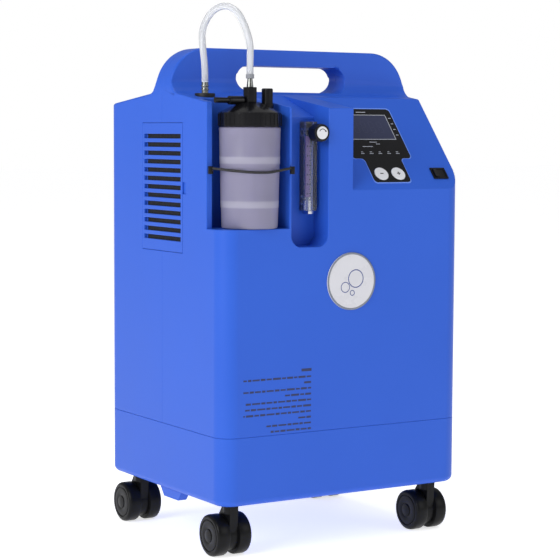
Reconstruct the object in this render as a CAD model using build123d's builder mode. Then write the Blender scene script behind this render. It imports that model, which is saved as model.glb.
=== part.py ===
from build123d import *
from math import acos, atan2, cos, pi, radians, sin, sqrt, tan
import os

os.makedirs("parts", exist_ok=True)

# Frame: millimetres, +Z up, +Y to the back, origin on the floor under the middle of the housing.

# ---- overall housing ----
body_width = 342.0
body_depth = 294.0
body_height = 600.0
base_bottom = 64.0
parting_height = 145.0
corner_radius = 22.0
wall = 3.0
fit_gap = 0.3

seam_y = 4.8
front_y = seam_y - body_depth / 2
back_y = seam_y + body_depth / 2
left_x = -body_width / 2
right_x = body_width / 2
reach = 2 * body_width

# ---- hump with the carrying handle, on a roof that falls to the front and the back ----
hump_front_y = seam_y - 20.0
hump_back_y = seam_y + 17.0
hump_corner_radius = 50.0
hump_root_radius = 20.0
hump_root_z = body_height - 53.0
roof_slope = 8.6
roof_back_slope = 6.3
handle_width = 158.0
handle_height = 32.0
handle_z = hump_root_z + 17.0

# ---- humidifier bay in the front left corner ----
bay_floor_z = body_height - 213.0
bay_left_edge_y = front_y + 38.0
bay_back_y = front_y + 71.0
cap_radius = 36.8
bottle_x = left_x + 51.0
bottle_side_gap = 2.2
bay_right_x = bottle_x + cap_radius + bottle_side_gap
bay_inner_radius = 14.0
bay_left_wall = 8.0

# ---- flowmeter recess, right of the bay ----
partition_wall = 3.0
recess_left_x = bay_right_x + partition_wall
recess_width = 51.0
recess_right_x = recess_left_x + recess_width
recess_back_y = front_y + 32.0
recess_floor_z = body_height - 235.5
recess_corner_radius = 14.0
recess_top_z = body_height - 83.0
recess_top_slope = 20.0

# ---- slanted display panel ----
panel_left_x = 8.0
panel_angle = 49.9
panel_foot_z = body_height - 169.2
panel_up = (0, cos(radians(panel_angle)), sin(radians(panel_angle)))
panel_out = (0, -sin(radians(panel_angle)), cos(radians(panel_angle)))
panel_plane = Plane(origin=(0, front_y, panel_foot_z), x_dir=(1, 0, 0), z_dir=panel_out)

# ---- overlay, display window and buttons, placed on the panel as (X, way up the slope) ----
overlay_middle_x = 71.5
overlay_top_width = 87.0
overlay_top_from = 48.0
overlay_top_to = 127.0
overlay_foot_width = 54.0
overlay_foot_from = 11.0
overlay_thickness = 1.6
overlay_sink = 1.0
overlay_radius = 5.0
window_width = 67.0
window_height = 39.0
window_up = 97.5
button_diameter = 18.8
button_pitch = 25.0
button_up = 23.6
button_rise = 1.6
button_depth = 9.0
button_clearance = 0.25
button_flange = 1.4
button_lip = 1.8
board_depth = 11.0
board_thickness = 1.6
board_width = 94.0
board_length = 112.0
board_up = 68.0

# ---- power switch ----
switch_x = 145.5
switch_up = 23.5
switch_width = 22.0
switch_height = 17.0
switch_rim = 1.6
switch_flange = 1.0
switch_wall = 1.1
switch_depth = 14.0
rocker_gap = 0.3
rocker_tilt = 8.0
rocker_height = 1.0
rocker_depth = 6.0

# ---- badge ----
badge_diameter = 69.0
badge_x = 6.0
badge_z = body_height - 278.0
badge_thickness = 1.2

# ---- filter door over the seam on the left side ----
door_width = 102.0
door_height = 154.0
door_middle_z = body_height - 167.5
door_thickness = 3.4
door_gap = 0.4
door_ledge = 6.0
door_frame_depth = 9.0
louvre_count = 13
louvre_width = 93.0
louvre_height = 5.4
louvre_pitch = 10.2
notch_height = 14.0
notch_width = 9.0
notch_depth = 1.8
foam_thickness = 7.0

# ---- flowmeter ----
meter_x = recess_left_x + 38.0
meter_width = 16.0
meter_depth = 15.0
meter_bottom_z = body_height - 193.5
meter_height = 105.0
bore_diameter = 9.0
float_diameter = 6.4
float_travel = 52.0
plug_length = 12.0
knob_z = body_height - 101.5
knob_diameter = 20.4
knob_length = 16.0
knob_gap = 7.0
stem_diameter = 6.0
stem_engagement = 7.0
stud_radius = 4.0
stud_length = 15.0
plug_head = 4.0
shaft_clearance = 0.05
cap_diameter = 15.0
cap_thickness = 1.2

# ---- humidifier bottle ----
bottle_y = front_y + 26.0
jar_top_radius = 36.0
jar_foot_radius = 33.0
jar_wall = 2.2
jar_shoulder_z = body_height - 95.5
neck_radius = 32.5
neck_height = 11.0
cap_skirt_height = 16.5
cap_dome_height = 12.0
cap_top_radius = 12.0
thread_clearance = 0.5
gasket_thickness = 1.6
rib_count = 36
nut_diameter = 16.5
nut_height = 17.5
nipple_height = 15.0
cuff_length = 5.0
cuff_wall = 0.8
nipple_radius = 3.0
spout_radius = 3.2
spout_reach = 47.0
spout_root = 26.0
spout_flange = 1.8
spout_flange_length = 2.4
relief_radius = 6.6
relief_offset = 23.5
relief_height = 18.0
dip_radius = 3.0
dip_bottom_gap = 8.0
diffuser_length = 22.0
diffuser_radius = 5.0
strap_radius = 1.5
strap_z = body_height - 145.0
anchor_radius = 3.0
anchor_height = 9.0

# ---- oxygen outlet and its tube ----
outlet_x = -145.0
outlet_y = front_y + 88.0
outlet_height = 14.5
outlet_radius = 4.0
washer_radius = 12.0
washer_thickness = 1.6
tube_radius = 4.0

# ---- casters ----
caster_x = 143.0
caster_front_y = front_y + 29.0
caster_back_y = back_y - 38.0
caster_trail = 12.0
wheel_diameter = 50.0
wheel_width = 17.0
hood_width = 11.0
wheel_gap = 0.4
axle_diameter = 6.0
caster_stem_diameter = 11.0
caster_stem_height = 26.0
hood_radius = 20.0
socket_radius = 11.0
hood_top_drop = 3.0
hood_neck = 9.0
wheel_edge = 3.0

# ---- base tub ----
base_edge = 8.0
tab_length = 58.0
tab_foot_length = 36.0
tab_drop = 12.0
tab_width = 12.0
tab_y = seam_y - 7.0
lip_height = 12.0
lip_thickness = 2.4

# ---- inner pieces ----
compressor_radius = 46.0
compressor_length = 176.0
compressor_y = seam_y - 38.0
compressor_x = 0.0
mount_radius = 10.0
mount_height = 16.0
head_width = 44.0
head_depth = 62.0
head_height = 54.0
fan_size = 120.0
fan_depth = 38.0
fan_hub_radius = 20.0
fan_x = 40.0
fan_z = 240.0
fan_blades = 7
fin_count = 12
fin_thickness = 1.2
cooler_depth = 20.0
bed_radius = 36.0
bed_height = 300.0
bed_x = 128.0
bed_pitch = 78.0
tank_radius = 32.0
tank_height = 210.0
tank_x = -128.0
tank_y = seam_y - 54.0
valve_height = 34.0
board_gap = 12.0
hepa_radius = 24.0
hepa_height = 62.0
capacitor_radius = 17.0
capacitor_height = 70.0

# ---- back ----
grille_size = 126.0
grille_thickness = 3.0
grille_slots = 11
grille_slot_height = 5.0
inlet_x = -95.0
inlet_z = 190.0
inlet_width = 30.0
inlet_height = 24.0
inlet_flange = 4.0
inlet_depth = 18.0
inlet_wall = 2.5
pin_width = 2.0
pin_height = 4.0
pin_pitch = 7.0
pin_drop = 3.0
screw_head_radius = 4.0
screw_head_height = 2.5
screw_shank_radius = 2.0
screw_length = 12.0


def box_between(low, high, mode=Mode.ADD):
    """Box from its low corner to its high corner, in the part that is being built."""
    size = [high[i] - low[i] for i in range(3)]
    middle = [(high[i] + low[i]) / 2 for i in range(3)]
    with Locations(tuple(middle)):
        Box(*size, mode=mode)


def roof_z(y):
    """Height of the front roof above the floor."""
    return hump_root_z + (y - hump_front_y) * tan(radians(roof_slope))


def finish(part, name):
    """Label a piece and write its file."""
    part.label = name
    export_step(part, "parts/" + name + ".step")


def housing_volume(inset):
    """Outside of the upper housing, or its cavity when inset is the wall thickness."""
    top_front_z = roof_z(front_y)
    top_back_z = hump_root_z - (back_y - hump_back_y) * tan(radians(roof_back_slope))
    with BuildPart() as volume:
        with BuildSketch(Plane.XY.offset(parting_height - inset)):
            with Locations((0, seam_y)):
                RectangleRounded(body_width - 2 * inset, body_depth - 2 * inset, corner_radius - inset)
        extrude(amount=body_height)
        with BuildSketch(Plane.YZ):
            with BuildLine():
                Polyline(
                    (front_y, 0),
                    (front_y, top_front_z),
                    (hump_front_y, hump_root_z),
                    (hump_front_y, body_height),
                    (hump_back_y, body_height),
                    (hump_back_y, hump_root_z),
                    (back_y, top_back_z),
                    (back_y, 0),
                    close=True,
                )
            side = make_face()
            roots = side.vertices().filter_by(lambda v: abs(v.Y - hump_root_z) < 1)
            fillet(roots, hump_root_radius)
            if inset:
                offset(amount=-inset, kind=Kind.INTERSECTION, mode=Mode.REPLACE)
        extrude(amount=reach, both=True, mode=Mode.INTERSECT)
        with BuildSketch(Plane.XZ):
            with Locations((0, (body_height - inset) / 2)):
                hump_face = Rectangle(body_width - 2 * inset, body_height - inset)
            fillet(hump_face.vertices().group_by(Axis.Y)[-1], hump_corner_radius - inset)
        extrude(amount=reach, both=True, mode=Mode.INTERSECT)
        with BuildSketch(Plane.XZ):
            with Locations((0, handle_z)):
                SlotOverall(handle_width + 2 * inset, handle_height + 2 * inset)
        extrude(amount=reach, both=True, mode=Mode.SUBTRACT)
        panel_length = (hump_front_y - hump_root_radius - front_y) / cos(radians(panel_angle))
        with BuildSketch(panel_plane.offset(-inset)):
            with Locations(((panel_left_x - inset + reach) / 2, (panel_length - reach) / 2)):
                Rectangle(reach - panel_left_x + inset, panel_length + reach)
        extrude(amount=reach, mode=Mode.SUBTRACT)
        with BuildSketch(Plane.XY.offset(bay_floor_z - inset)):
            with BuildLine():
                Polyline(
                    (-reach, -reach),
                    (bay_right_x + inset, -reach),
                    (bay_right_x + inset, bay_back_y + inset),
                    (left_x + bay_left_wall - inset, bay_back_y + inset),
                    (left_x + bay_left_wall - inset, bay_left_edge_y + inset),
                    (-reach, bay_left_edge_y + inset),
                    close=True,
                )
            bay = make_face()
            fillet(bay.vertices().group_by(Axis.Y)[-1], bay_inner_radius)
        extrude(amount=body_height, mode=Mode.SUBTRACT)
        recess_middle = (recess_left_x + recess_right_x) / 2
        with BuildSketch(Plane.XZ.offset(-recess_back_y - inset)):
            with Locations((recess_middle, recess_floor_z + body_height / 2)):
                mouth = Rectangle(recess_width + 2 * inset, body_height + 2 * inset)
            fillet(mouth.vertices().group_by(Axis.Y)[0], recess_corner_radius)
        extrude(amount=reach, mode=Mode.SUBTRACT)
        ramp = Plane(
            origin=(recess_middle, recess_back_y, recess_top_z - inset),
            x_dir=(1, 0, 0),
            z_dir=(0, -sin(radians(recess_top_slope)), cos(radians(recess_top_slope))),
        )
        ramp_length = (hump_front_y - hump_root_radius - recess_back_y) / cos(radians(recess_top_slope))
        with BuildSketch(ramp):
            with Locations((0, ramp_length / 2)):
                Rectangle(recess_width + 2 * inset, ramp_length)
        extrude(amount=body_height - recess_top_z, mode=Mode.SUBTRACT)
    return volume.part


def panel_point(x, up, out=0.0):
    """Point on the slanted panel: across, up the slope, and out of the panel."""
    return panel_plane.from_local_coords(Vector(x, up, out))


# ---- upper housing: front and rear shell, split at the seam ----
def overlay_outline(grow):
    """Outline of the overlay, drawn in the sketch that is open: a wide head on a narrower foot."""
    head = overlay_top_to - overlay_top_from + 2 * grow
    whole = overlay_top_to - overlay_foot_from + 2 * grow
    with Locations((overlay_middle_x, (overlay_top_from + overlay_top_to) / 2)):
        Rectangle(overlay_top_width + 2 * grow, head)
    with Locations((overlay_middle_x, (overlay_foot_from + overlay_top_to) / 2)):
        Rectangle(overlay_foot_width + 2 * grow, whole)


button_places = [overlay_middle_x - button_pitch / 2, overlay_middle_x + button_pitch / 2]
door_low_z = door_middle_z - door_height / 2
door_high_z = door_middle_z + door_height / 2
bottle_floor_z = bay_floor_z + fit_gap
stud_places = [meter_bottom_z + 12.0, knob_z]
screw_z = parting_height + lip_height / 2
screw_places = [-130.0, -50.0, 50.0, 130.0]

with BuildPart() as housing:
    add(housing_volume(0))
    add(housing_volume(wall), mode=Mode.SUBTRACT)
    # frame of the filter door
    frame_y = door_width / 2 + door_ledge
    box_between(
        (left_x + wall / 2, seam_y - frame_y, door_low_z - door_ledge),
        (left_x + door_frame_depth, seam_y + frame_y, door_high_z + door_ledge),
    )
    recess_y = door_width / 2 + door_gap
    box_between(
        (left_x - wall, seam_y - recess_y, door_low_z - door_gap),
        (left_x + door_thickness + fit_gap, seam_y + recess_y, door_high_z + door_gap),
        Mode.SUBTRACT,
    )
    opening_y = door_width / 2 - door_ledge
    box_between(
        (left_x - wall, seam_y - opening_y, door_low_z + door_ledge),
        (left_x + 2 * door_frame_depth, seam_y + opening_y, door_high_z - door_ledge),
        Mode.SUBTRACT,
    )
    notch_y = seam_y - door_width / 2
    box_between(
        (left_x - wall, notch_y - notch_width, door_middle_z - notch_height / 2),
        (left_x + notch_depth, notch_y, door_middle_z + notch_height / 2),
        Mode.SUBTRACT,
    )
    # seat of the overlay, holes for the buttons and the switch
    with BuildSketch(panel_plane.offset(-overlay_sink)) as overlay_seat:
        overlay_outline(fit_gap)
        fillet(overlay_seat.vertices(), overlay_radius)
    extrude(amount=wall, mode=Mode.SUBTRACT)
    with BuildSketch(panel_plane):
        for place in button_places:
            with Locations((place, button_up)):
                Circle(button_diameter / 2 + button_clearance)
        with Locations((switch_x, switch_up)):
            hole_inset = 2 * (switch_flange - fit_gap)
            Rectangle(switch_width - hole_inset, switch_height - hole_inset)
    extrude(amount=2 * wall, both=True, mode=Mode.SUBTRACT)
    # holes behind the flowmeter, under the outlet and for the screws
    with BuildSketch(Plane.XZ.offset(-recess_back_y)):
        for place in stud_places:
            with Locations((meter_x, place)):
                Circle(stud_radius + fit_gap)
    extrude(amount=-2 * wall, mode=Mode.SUBTRACT)
    with BuildSketch(Plane.XY.offset(roof_z(outlet_y) - 2 * wall)):
        with Locations((outlet_x, outlet_y)):
            Circle(outlet_radius + fit_gap)
    extrude(amount=4 * wall, mode=Mode.SUBTRACT)
    # openings in the back for the grille, the power inlet and the screws
    with BuildSketch(Plane.XZ.offset(-back_y)):
        with Locations((fan_x, fan_z)):
            Rectangle(grille_size + 2 * fit_gap, grille_size + 2 * fit_gap)
        with Locations((inlet_x, inlet_z)):
            rebate = 2 * (inlet_flange + fit_gap)
            Rectangle(inlet_width + rebate, inlet_height + rebate)
    extrude(amount=grille_thickness / 2, mode=Mode.SUBTRACT)
    with BuildSketch(Plane.XZ.offset(-back_y)):
        with Locations((fan_x, fan_z)):
            Rectangle(fan_size - 2, fan_size - 2)
        with Locations((inlet_x, inlet_z)):
            Rectangle(inlet_width + 2 * fit_gap, inlet_height + 2 * fit_gap)
        for place in screw_places:
            with Locations((place, screw_z)):
                Circle(screw_shank_radius + fit_gap)
    extrude(amount=2 * wall, both=True, mode=Mode.SUBTRACT)

with BuildPart() as front_shell:
    add(housing.part)
    split(bisect_by=Plane.XZ.offset(-seam_y), keep=Keep.TOP)
finish(front_shell.part, "front_shell")

with BuildPart() as rear_shell:
    add(housing.part)
    split(bisect_by=Plane.XZ.offset(-seam_y), keep=Keep.BOTTOM)
finish(rear_shell.part, "rear_shell")

# ---- base tub with caster sockets, a lip inside the housing and a tab under each side ----
caster_places = [
    (-caster_x, caster_front_y),
    (caster_x, caster_front_y),
    (-caster_x, caster_back_y),
    (caster_x, caster_back_y),
]
tub_floor_z = base_bottom + wall
socket_height = caster_stem_height + wall
with BuildPart() as base_tub:
    with BuildSketch(Plane.XY.offset(base_bottom)):
        with Locations((0, seam_y)):
            RectangleRounded(body_width, body_depth, corner_radius)
    extrude(amount=parting_height - base_bottom)
    fillet(base_tub.edges().group_by(Axis.Z)[0], base_edge)
    with BuildSketch(Plane.XY.offset(parting_height)):
        with Locations((0, seam_y)):
            lip_inset = 2 * (wall + fit_gap)
            RectangleRounded(body_width - lip_inset, body_depth - lip_inset, corner_radius - wall)
    extrude(amount=lip_height)
    with BuildSketch(Plane.XY.offset(tub_floor_z)):
        with Locations((0, seam_y)):
            tub_inset = 2 * (wall + fit_gap + lip_thickness)
            RectangleRounded(body_width - tub_inset, body_depth - tub_inset, corner_radius - 2 * wall)
    extrude(amount=body_height, mode=Mode.SUBTRACT)
    with BuildSketch(Plane.XY.offset(base_bottom + wall / 2)):
        with Locations(*caster_places):
            Circle(socket_radius)
    extrude(amount=socket_height)
    with BuildSketch(Plane.XY.offset(base_bottom)):
        with Locations(*caster_places):
            Circle(caster_stem_diameter / 2 + shaft_clearance)
    extrude(amount=caster_stem_height, mode=Mode.SUBTRACT)
    for side in (left_x + base_edge, right_x - base_edge - tab_width):
        with BuildSketch(Plane.YZ.offset(side)):
            with BuildLine():
                Polyline(
                    (tab_y - tab_length / 2, base_bottom + wall / 2),
                    (tab_y + tab_length / 2, base_bottom + wall / 2),
                    (tab_y + tab_foot_length / 2, base_bottom - tab_drop),
                    (tab_y - tab_foot_length / 2, base_bottom - tab_drop),
                    close=True,
                )
            make_face()
        extrude(amount=tab_width)
    with BuildSketch(Plane.XZ.offset(-back_y)):
        for place in screw_places:
            with Locations((place, screw_z)):
                Circle(screw_shank_radius)
    extrude(amount=screw_length, mode=Mode.SUBTRACT)
finish(base_tub.part, "base_tub")

with BuildPart() as shell_screws:
    with BuildSketch(Plane.XZ.offset(-back_y)):
        for place in screw_places:
            with Locations((place, screw_z)):
                Circle(screw_head_radius)
    extrude(amount=-screw_head_height)
    with BuildSketch(Plane.XZ.offset(-back_y)):
        for place in screw_places:
            with Locations((place, screw_z)):
                Circle(screw_shank_radius - fit_gap / 10)
    extrude(amount=screw_length - wall)
finish(shell_screws.part, "shell_screws")

# ---- display: overlay, window, buttons and their board ----
with BuildPart() as display_overlay:
    with BuildSketch(panel_plane.offset(-overlay_sink)) as overlay_face:
        overlay_outline(0)
        fillet(overlay_face.vertices(), overlay_radius)
        with Locations((overlay_middle_x, window_up)):
            Rectangle(window_width, window_height, mode=Mode.SUBTRACT)
        for place in button_places:
            with Locations((place, button_up)):
                Circle(button_diameter / 2 + button_clearance, mode=Mode.SUBTRACT)
    extrude(amount=overlay_thickness)
finish(display_overlay.part, "display_overlay")

with BuildPart() as display_window:
    with BuildSketch(panel_plane.offset(-overlay_sink)):
        with Locations((overlay_middle_x, window_up)):
            Rectangle(window_width - fit_gap, window_height - fit_gap)
    extrude(amount=overlay_thickness - fit_gap)
finish(display_window.part, "display_window")

for name, place in zip(("minus_button", "plus_button"), button_places):
    with BuildPart() as button:
        with BuildSketch(panel_plane.offset(-button_depth)):
            with Locations((place, button_up)):
                Circle(button_diameter / 2)
        extrude(amount=button_depth + button_rise)
        fillet(button.edges().sort_by(Axis(panel_point(place, button_up), panel_out))[-1], 0.8)
        with BuildSketch(panel_plane.offset(-wall - fit_gap - button_flange)):
            with Locations((place, button_up)):
                Circle(button_diameter / 2 + button_lip)
        extrude(amount=button_flange)
    finish(button.part, name)

with BuildPart() as display_board:
    with BuildSketch(panel_plane.offset(-board_depth)):
        with Locations((overlay_middle_x, board_up)):
            Rectangle(board_width, board_length)
    extrude(amount=-board_thickness)
    with BuildSketch(panel_plane.offset(-board_depth)):
        with Locations((overlay_middle_x, board_up)):
            with GridLocations(board_width - 8, board_length - 8, 2, 2):
                Circle(2.5)
    extrude(amount=board_depth - wall)
finish(display_board.part, "display_board")

# ---- power switch ----
switch_inset = 2 * (switch_flange + switch_wall)
with BuildPart() as switch_frame:
    with BuildSketch(panel_plane):
        with Locations((switch_x, switch_up)):
            Rectangle(switch_width, switch_height)
    extrude(amount=switch_rim)
    with BuildSketch(panel_plane):
        with Locations((switch_x, switch_up)):
            Rectangle(switch_width - 2 * switch_flange, switch_height - 2 * switch_flange)
    extrude(amount=-switch_depth)
    with BuildSketch(panel_plane.offset(switch_rim)):
        with Locations((switch_x, switch_up)):
            Rectangle(switch_width - switch_inset, switch_height - switch_inset)
    extrude(amount=-switch_depth, mode=Mode.SUBTRACT)
finish(switch_frame.part, "switch_frame")

rocker_half = (switch_width - switch_inset) / 2 - rocker_gap - 0.2
rocker_length = switch_height - switch_inset - 2 * rocker_gap
rocker_arm = rocker_half * tan(radians(rocker_tilt))
rocker_plane = Plane(
    origin=panel_point(switch_x, switch_up, rocker_height),
    x_dir=Vector(1, 0, 0).rotate(Axis((0, 0, 0), panel_up), rocker_tilt),
    z_dir=panel_up,
)
with BuildPart() as power_rocker:
    with BuildSketch(rocker_plane):
        with BuildLine():
            Polyline(
                (-rocker_half, -rocker_arm),
                (0, 0),
                (rocker_half, -rocker_arm),
                (rocker_half, 1.5),
                (rocker_half * 0.6, rocker_depth),
                (-rocker_half * 0.6, rocker_depth),
                (-rocker_half, 1.5),
                close=True,
            )
        make_face()
    extrude(amount=rocker_length / 2, both=True)
finish(power_rocker.part, "power_rocker")

# ---- badge ----
with BuildPart() as badge:
    with BuildSketch(Plane.XZ.offset(-front_y)):
        with Locations((badge_x, badge_z)):
            Circle(badge_diameter / 2)
    extrude(amount=badge_thickness)
    fillet(badge.edges().group_by(Axis.Y)[0], 0.5)
finish(badge.part, "badge")

# ---- filter door with its louvres, and the foam behind it ----
with BuildPart() as filter_door:
    box_between(
        (left_x, seam_y - door_width / 2, door_low_z),
        (left_x + door_thickness, seam_y + door_width / 2, door_high_z),
    )
    with BuildSketch(Plane.YZ.offset(left_x)):
        with Locations((seam_y, door_middle_z)):
            with GridLocations(1, louvre_pitch, 1, louvre_count):
                Rectangle(louvre_width, louvre_height)
    extrude(amount=door_thickness, mode=Mode.SUBTRACT)
finish(filter_door.part, "filter_door")

with BuildPart() as foam_filter:
    foam_y = opening_y - 1.0
    box_between(
        (left_x + door_thickness, seam_y - foam_y, door_low_z + door_ledge + 1.0),
        (left_x + door_thickness + foam_thickness, seam_y + foam_y, door_high_z - door_ledge - 1.0),
    )
finish(foam_filter.part, "foam_filter")

# ---- flowmeter ----
meter_y = recess_back_y - meter_depth / 2
meter_front_y = recess_back_y - meter_depth
meter_top_z = meter_bottom_z + meter_height
bore_top_z = knob_z - 13.0
knob_back_y = meter_front_y - knob_gap
knob_front_y = knob_back_y - knob_length
with BuildPart() as flowmeter_body:
    box_between(
        (meter_x - meter_width / 2, meter_front_y, meter_bottom_z),
        (meter_x + meter_width / 2, recess_back_y, meter_top_z),
    )
    fillet(flowmeter_body.edges().filter_by(Axis.Z), 1.2)
    with BuildSketch(Plane.XY.offset(meter_bottom_z)):
        with Locations((meter_x, meter_y)):
            Circle(bore_diameter / 2)
    extrude(amount=bore_top_z - meter_bottom_z, mode=Mode.SUBTRACT)
    with BuildSketch(Plane.XZ.offset(-meter_front_y)):
        with Locations((meter_x, knob_z)):
            Circle(stem_diameter / 2 + shaft_clearance)
    extrude(amount=-stem_engagement - fit_gap, mode=Mode.SUBTRACT)
finish(flowmeter_body.part, "flowmeter_body")

float_z = meter_bottom_z + plug_length + float_diameter / 2 + fit_gap / 3
with BuildPart() as flow_float:
    with Locations((meter_x, meter_y, float_z)):
        Sphere(float_diameter / 2)
finish(flow_float.part, "flow_float")

with BuildPart() as flowmeter_fittings:
    with BuildSketch(Plane.XY.offset(meter_bottom_z)):
        with Locations((meter_x, meter_y)):
            Circle(bore_diameter / 2 - shaft_clearance)
    extrude(amount=plug_length)
    with BuildSketch(Plane.XY.offset(meter_bottom_z)):
        with Locations((meter_x, meter_y)):
            RegularPolygon(meter_width / 2 - 1, 6)
    extrude(amount=-plug_head)
    with BuildSketch(Plane.XZ.offset(-recess_back_y)):
        for place in stud_places:
            with Locations((meter_x, place)):
                Circle(stud_radius)
    extrude(amount=-stud_length)
    with BuildSketch(Plane.XZ.offset(-recess_back_y - wall)):
        for place in stud_places:
            with Locations((meter_x, place)):
                RegularPolygon(2 * stud_radius, 6)
    extrude(amount=-4.0)
finish(flowmeter_fittings.part, "flowmeter_fittings")

with BuildPart() as flow_knob:
    with BuildSketch(Plane.XZ.offset(-knob_back_y)):
        with Locations((meter_x, knob_z)):
            Circle(knob_diameter / 2)
    extrude(amount=knob_length)
    fillet(flow_knob.edges().group_by(Axis.Y)[0], 1.0)
    with BuildSketch(Plane.XZ.offset(-knob_front_y)):
        with Locations((meter_x, knob_z)):
            Circle(cap_diameter / 2 + shaft_clearance)
    extrude(amount=-cap_thickness, mode=Mode.SUBTRACT)
    with BuildSketch(Plane.XZ.offset(-knob_back_y)):
        with Locations((meter_x, knob_z)):
            Circle(stem_diameter / 2)
    extrude(amount=-knob_gap - stem_engagement)
finish(flow_knob.part, "flow_knob")

with BuildPart() as knob_cap:
    with BuildSketch(Plane.XZ.offset(-knob_front_y - cap_thickness)):
        with Locations((meter_x, knob_z)):
            Circle(cap_diameter / 2)
    extrude(amount=cap_thickness + fit_gap)
finish(knob_cap.part, "knob_cap")

# ---- humidifier bottle ----
bottle_plane = Plane(origin=(bottle_x, bottle_y, 0), x_dir=(1, 0, 0), z_dir=(0, -1, 0))
bottle_axis = Axis((bottle_x, bottle_y, 0), (0, 0, 1))
neck_top_z = jar_shoulder_z + neck_height
jar_floor_z = bottle_floor_z + jar_wall
with BuildPart() as humidifier_jar:
    with BuildSketch(bottle_plane):
        with BuildLine():
            Polyline(
                (0, bottle_floor_z),
                (jar_foot_radius - jar_wall, bottle_floor_z),
                (jar_foot_radius, bottle_floor_z + jar_wall),
                (jar_top_radius, jar_shoulder_z - 2 * jar_wall),
                (jar_top_radius, jar_shoulder_z),
                (neck_radius, jar_shoulder_z),
                (neck_radius, neck_top_z),
                (neck_radius - jar_wall, neck_top_z),
                (neck_radius - jar_wall, jar_shoulder_z - 3 * jar_wall),
                (jar_foot_radius - jar_wall, jar_floor_z),
                (0, jar_floor_z),
                close=True,
            )
        make_face()
    revolve(axis=bottle_axis)
finish(humidifier_jar.part, "humidifier_jar")

with BuildPart() as jar_gasket:
    with BuildSketch(Plane.XY.offset(neck_top_z + fit_gap / 3)):
        with Locations((bottle_x, bottle_y)):
            Circle(neck_radius)
            Circle(neck_radius - jar_wall, mode=Mode.SUBTRACT)
    extrude(amount=gasket_thickness)
finish(jar_gasket.part, "jar_gasket")

cap_foot_z = jar_shoulder_z + 1.5 * fit_gap
cap_ceiling_z = neck_top_z + fit_gap / 3 + gasket_thickness
cap_skirt_z = cap_foot_z + cap_skirt_height
cap_top_z = cap_skirt_z + cap_dome_height
spout_z = cap_top_z + 2.0
relief_x = bottle_x + relief_offset
relief_z = cap_top_z - 1.6
with BuildPart() as humidifier_cap:
    with BuildSketch(bottle_plane):
        with BuildLine():
            Polyline(
                (neck_radius + thread_clearance, cap_foot_z),
                (cap_radius, cap_foot_z),
                (cap_radius, cap_skirt_z),
                (cap_radius - 2, cap_skirt_z + 1),
                (cap_top_radius, cap_top_z),
                (0, cap_top_z),
                (0, cap_ceiling_z),
                (neck_radius + thread_clearance, cap_ceiling_z),
                close=True,
            )
        make_face()
    revolve(axis=bottle_axis)
    with BuildSketch(Plane.YZ.offset(bottle_x - spout_root)):
        with Locations((bottle_y, spout_z)):
            Circle(spout_radius + spout_flange)
    extrude(amount=spout_root - nut_diameter / 2 - 2)
    with BuildSketch(Plane.XY.offset(cap_skirt_z)):
        with Locations((relief_x, bottle_y)):
            Circle(relief_radius + 1)
    extrude(amount=relief_z - cap_skirt_z)
    with Locations((bottle_x, bottle_y, cap_foot_z + cap_skirt_height / 2)):
        with PolarLocations(cap_radius, rib_count):
            Box(0.9, 1.6, cap_skirt_height - 3)
finish(humidifier_cap.part, "humidifier_cap")

nut_top_z = cap_top_z + nut_height
nipple_top_z = nut_top_z + nipple_height
with BuildPart() as cap_nut:
    with BuildSketch(Plane.XY.offset(cap_top_z)):
        with Locations((bottle_x, bottle_y)):
            RegularPolygon(nut_diameter / 2, 8)
    extrude(amount=nut_height)
finish(cap_nut.part, "cap_nut")

with BuildPart() as inlet_nipple:
    with BuildSketch(Plane.XY.offset(nut_top_z)):
        with Locations((bottle_x, bottle_y)):
            Circle(nipple_radius + 1)
    with BuildSketch(Plane.XY.offset(nipple_top_z)):
        with Locations((bottle_x, bottle_y)):
            Circle(nipple_radius - 0.6)
    loft()
finish(inlet_nipple.part, "inlet_nipple")

with BuildPart() as tube_cuff:
    with BuildSketch(Plane.XY.offset(nipple_top_z - cuff_length)):
        with Locations((bottle_x, bottle_y)):
            Circle(tube_radius + cuff_wall)
    extrude(amount=cuff_length)
    add(inlet_nipple.part, mode=Mode.SUBTRACT)
finish(tube_cuff.part, "tube_cuff")

with BuildPart() as outlet_spout:
    with BuildSketch(Plane.YZ.offset(bottle_x - spout_reach)):
        with Locations((bottle_y, spout_z)):
            Circle(spout_radius)
    extrude(amount=spout_reach - spout_root)
    with BuildSketch(Plane.YZ.offset(bottle_x - spout_root - spout_flange_length)):
        with Locations((bottle_y, spout_z)):
            Circle(spout_radius + spout_flange)
    extrude(amount=spout_flange_length)
finish(outlet_spout.part, "outlet_spout")

with BuildPart() as relief_valve:
    with BuildSketch(Plane.XY.offset(relief_z)):
        with Locations((relief_x, bottle_y)):
            Circle(relief_radius)
    extrude(amount=relief_height)
    chamfer(relief_valve.edges().group_by(Axis.Z)[-1], 1.0)
finish(relief_valve.part, "relief_valve")

dip_foot_z = jar_floor_z + dip_bottom_gap
with BuildPart() as dip_tube:
    with BuildSketch(Plane.XY.offset(dip_foot_z + diffuser_length)):
        with Locations((bottle_x, bottle_y)):
            Circle(dip_radius)
            Circle(dip_radius - 1, mode=Mode.SUBTRACT)
    extrude(amount=cap_ceiling_z - dip_foot_z - diffuser_length)
finish(dip_tube.part, "dip_tube")

with BuildPart() as diffuser:
    with BuildSketch(Plane.XY.offset(dip_foot_z)):
        with Locations((bottle_x, bottle_y)):
            Circle(diffuser_radius)
    extrude(amount=diffuser_length)
    fillet(diffuser.edges().group_by(Axis.Z)[0], 2.0)
finish(diffuser.part, "diffuser")

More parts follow.
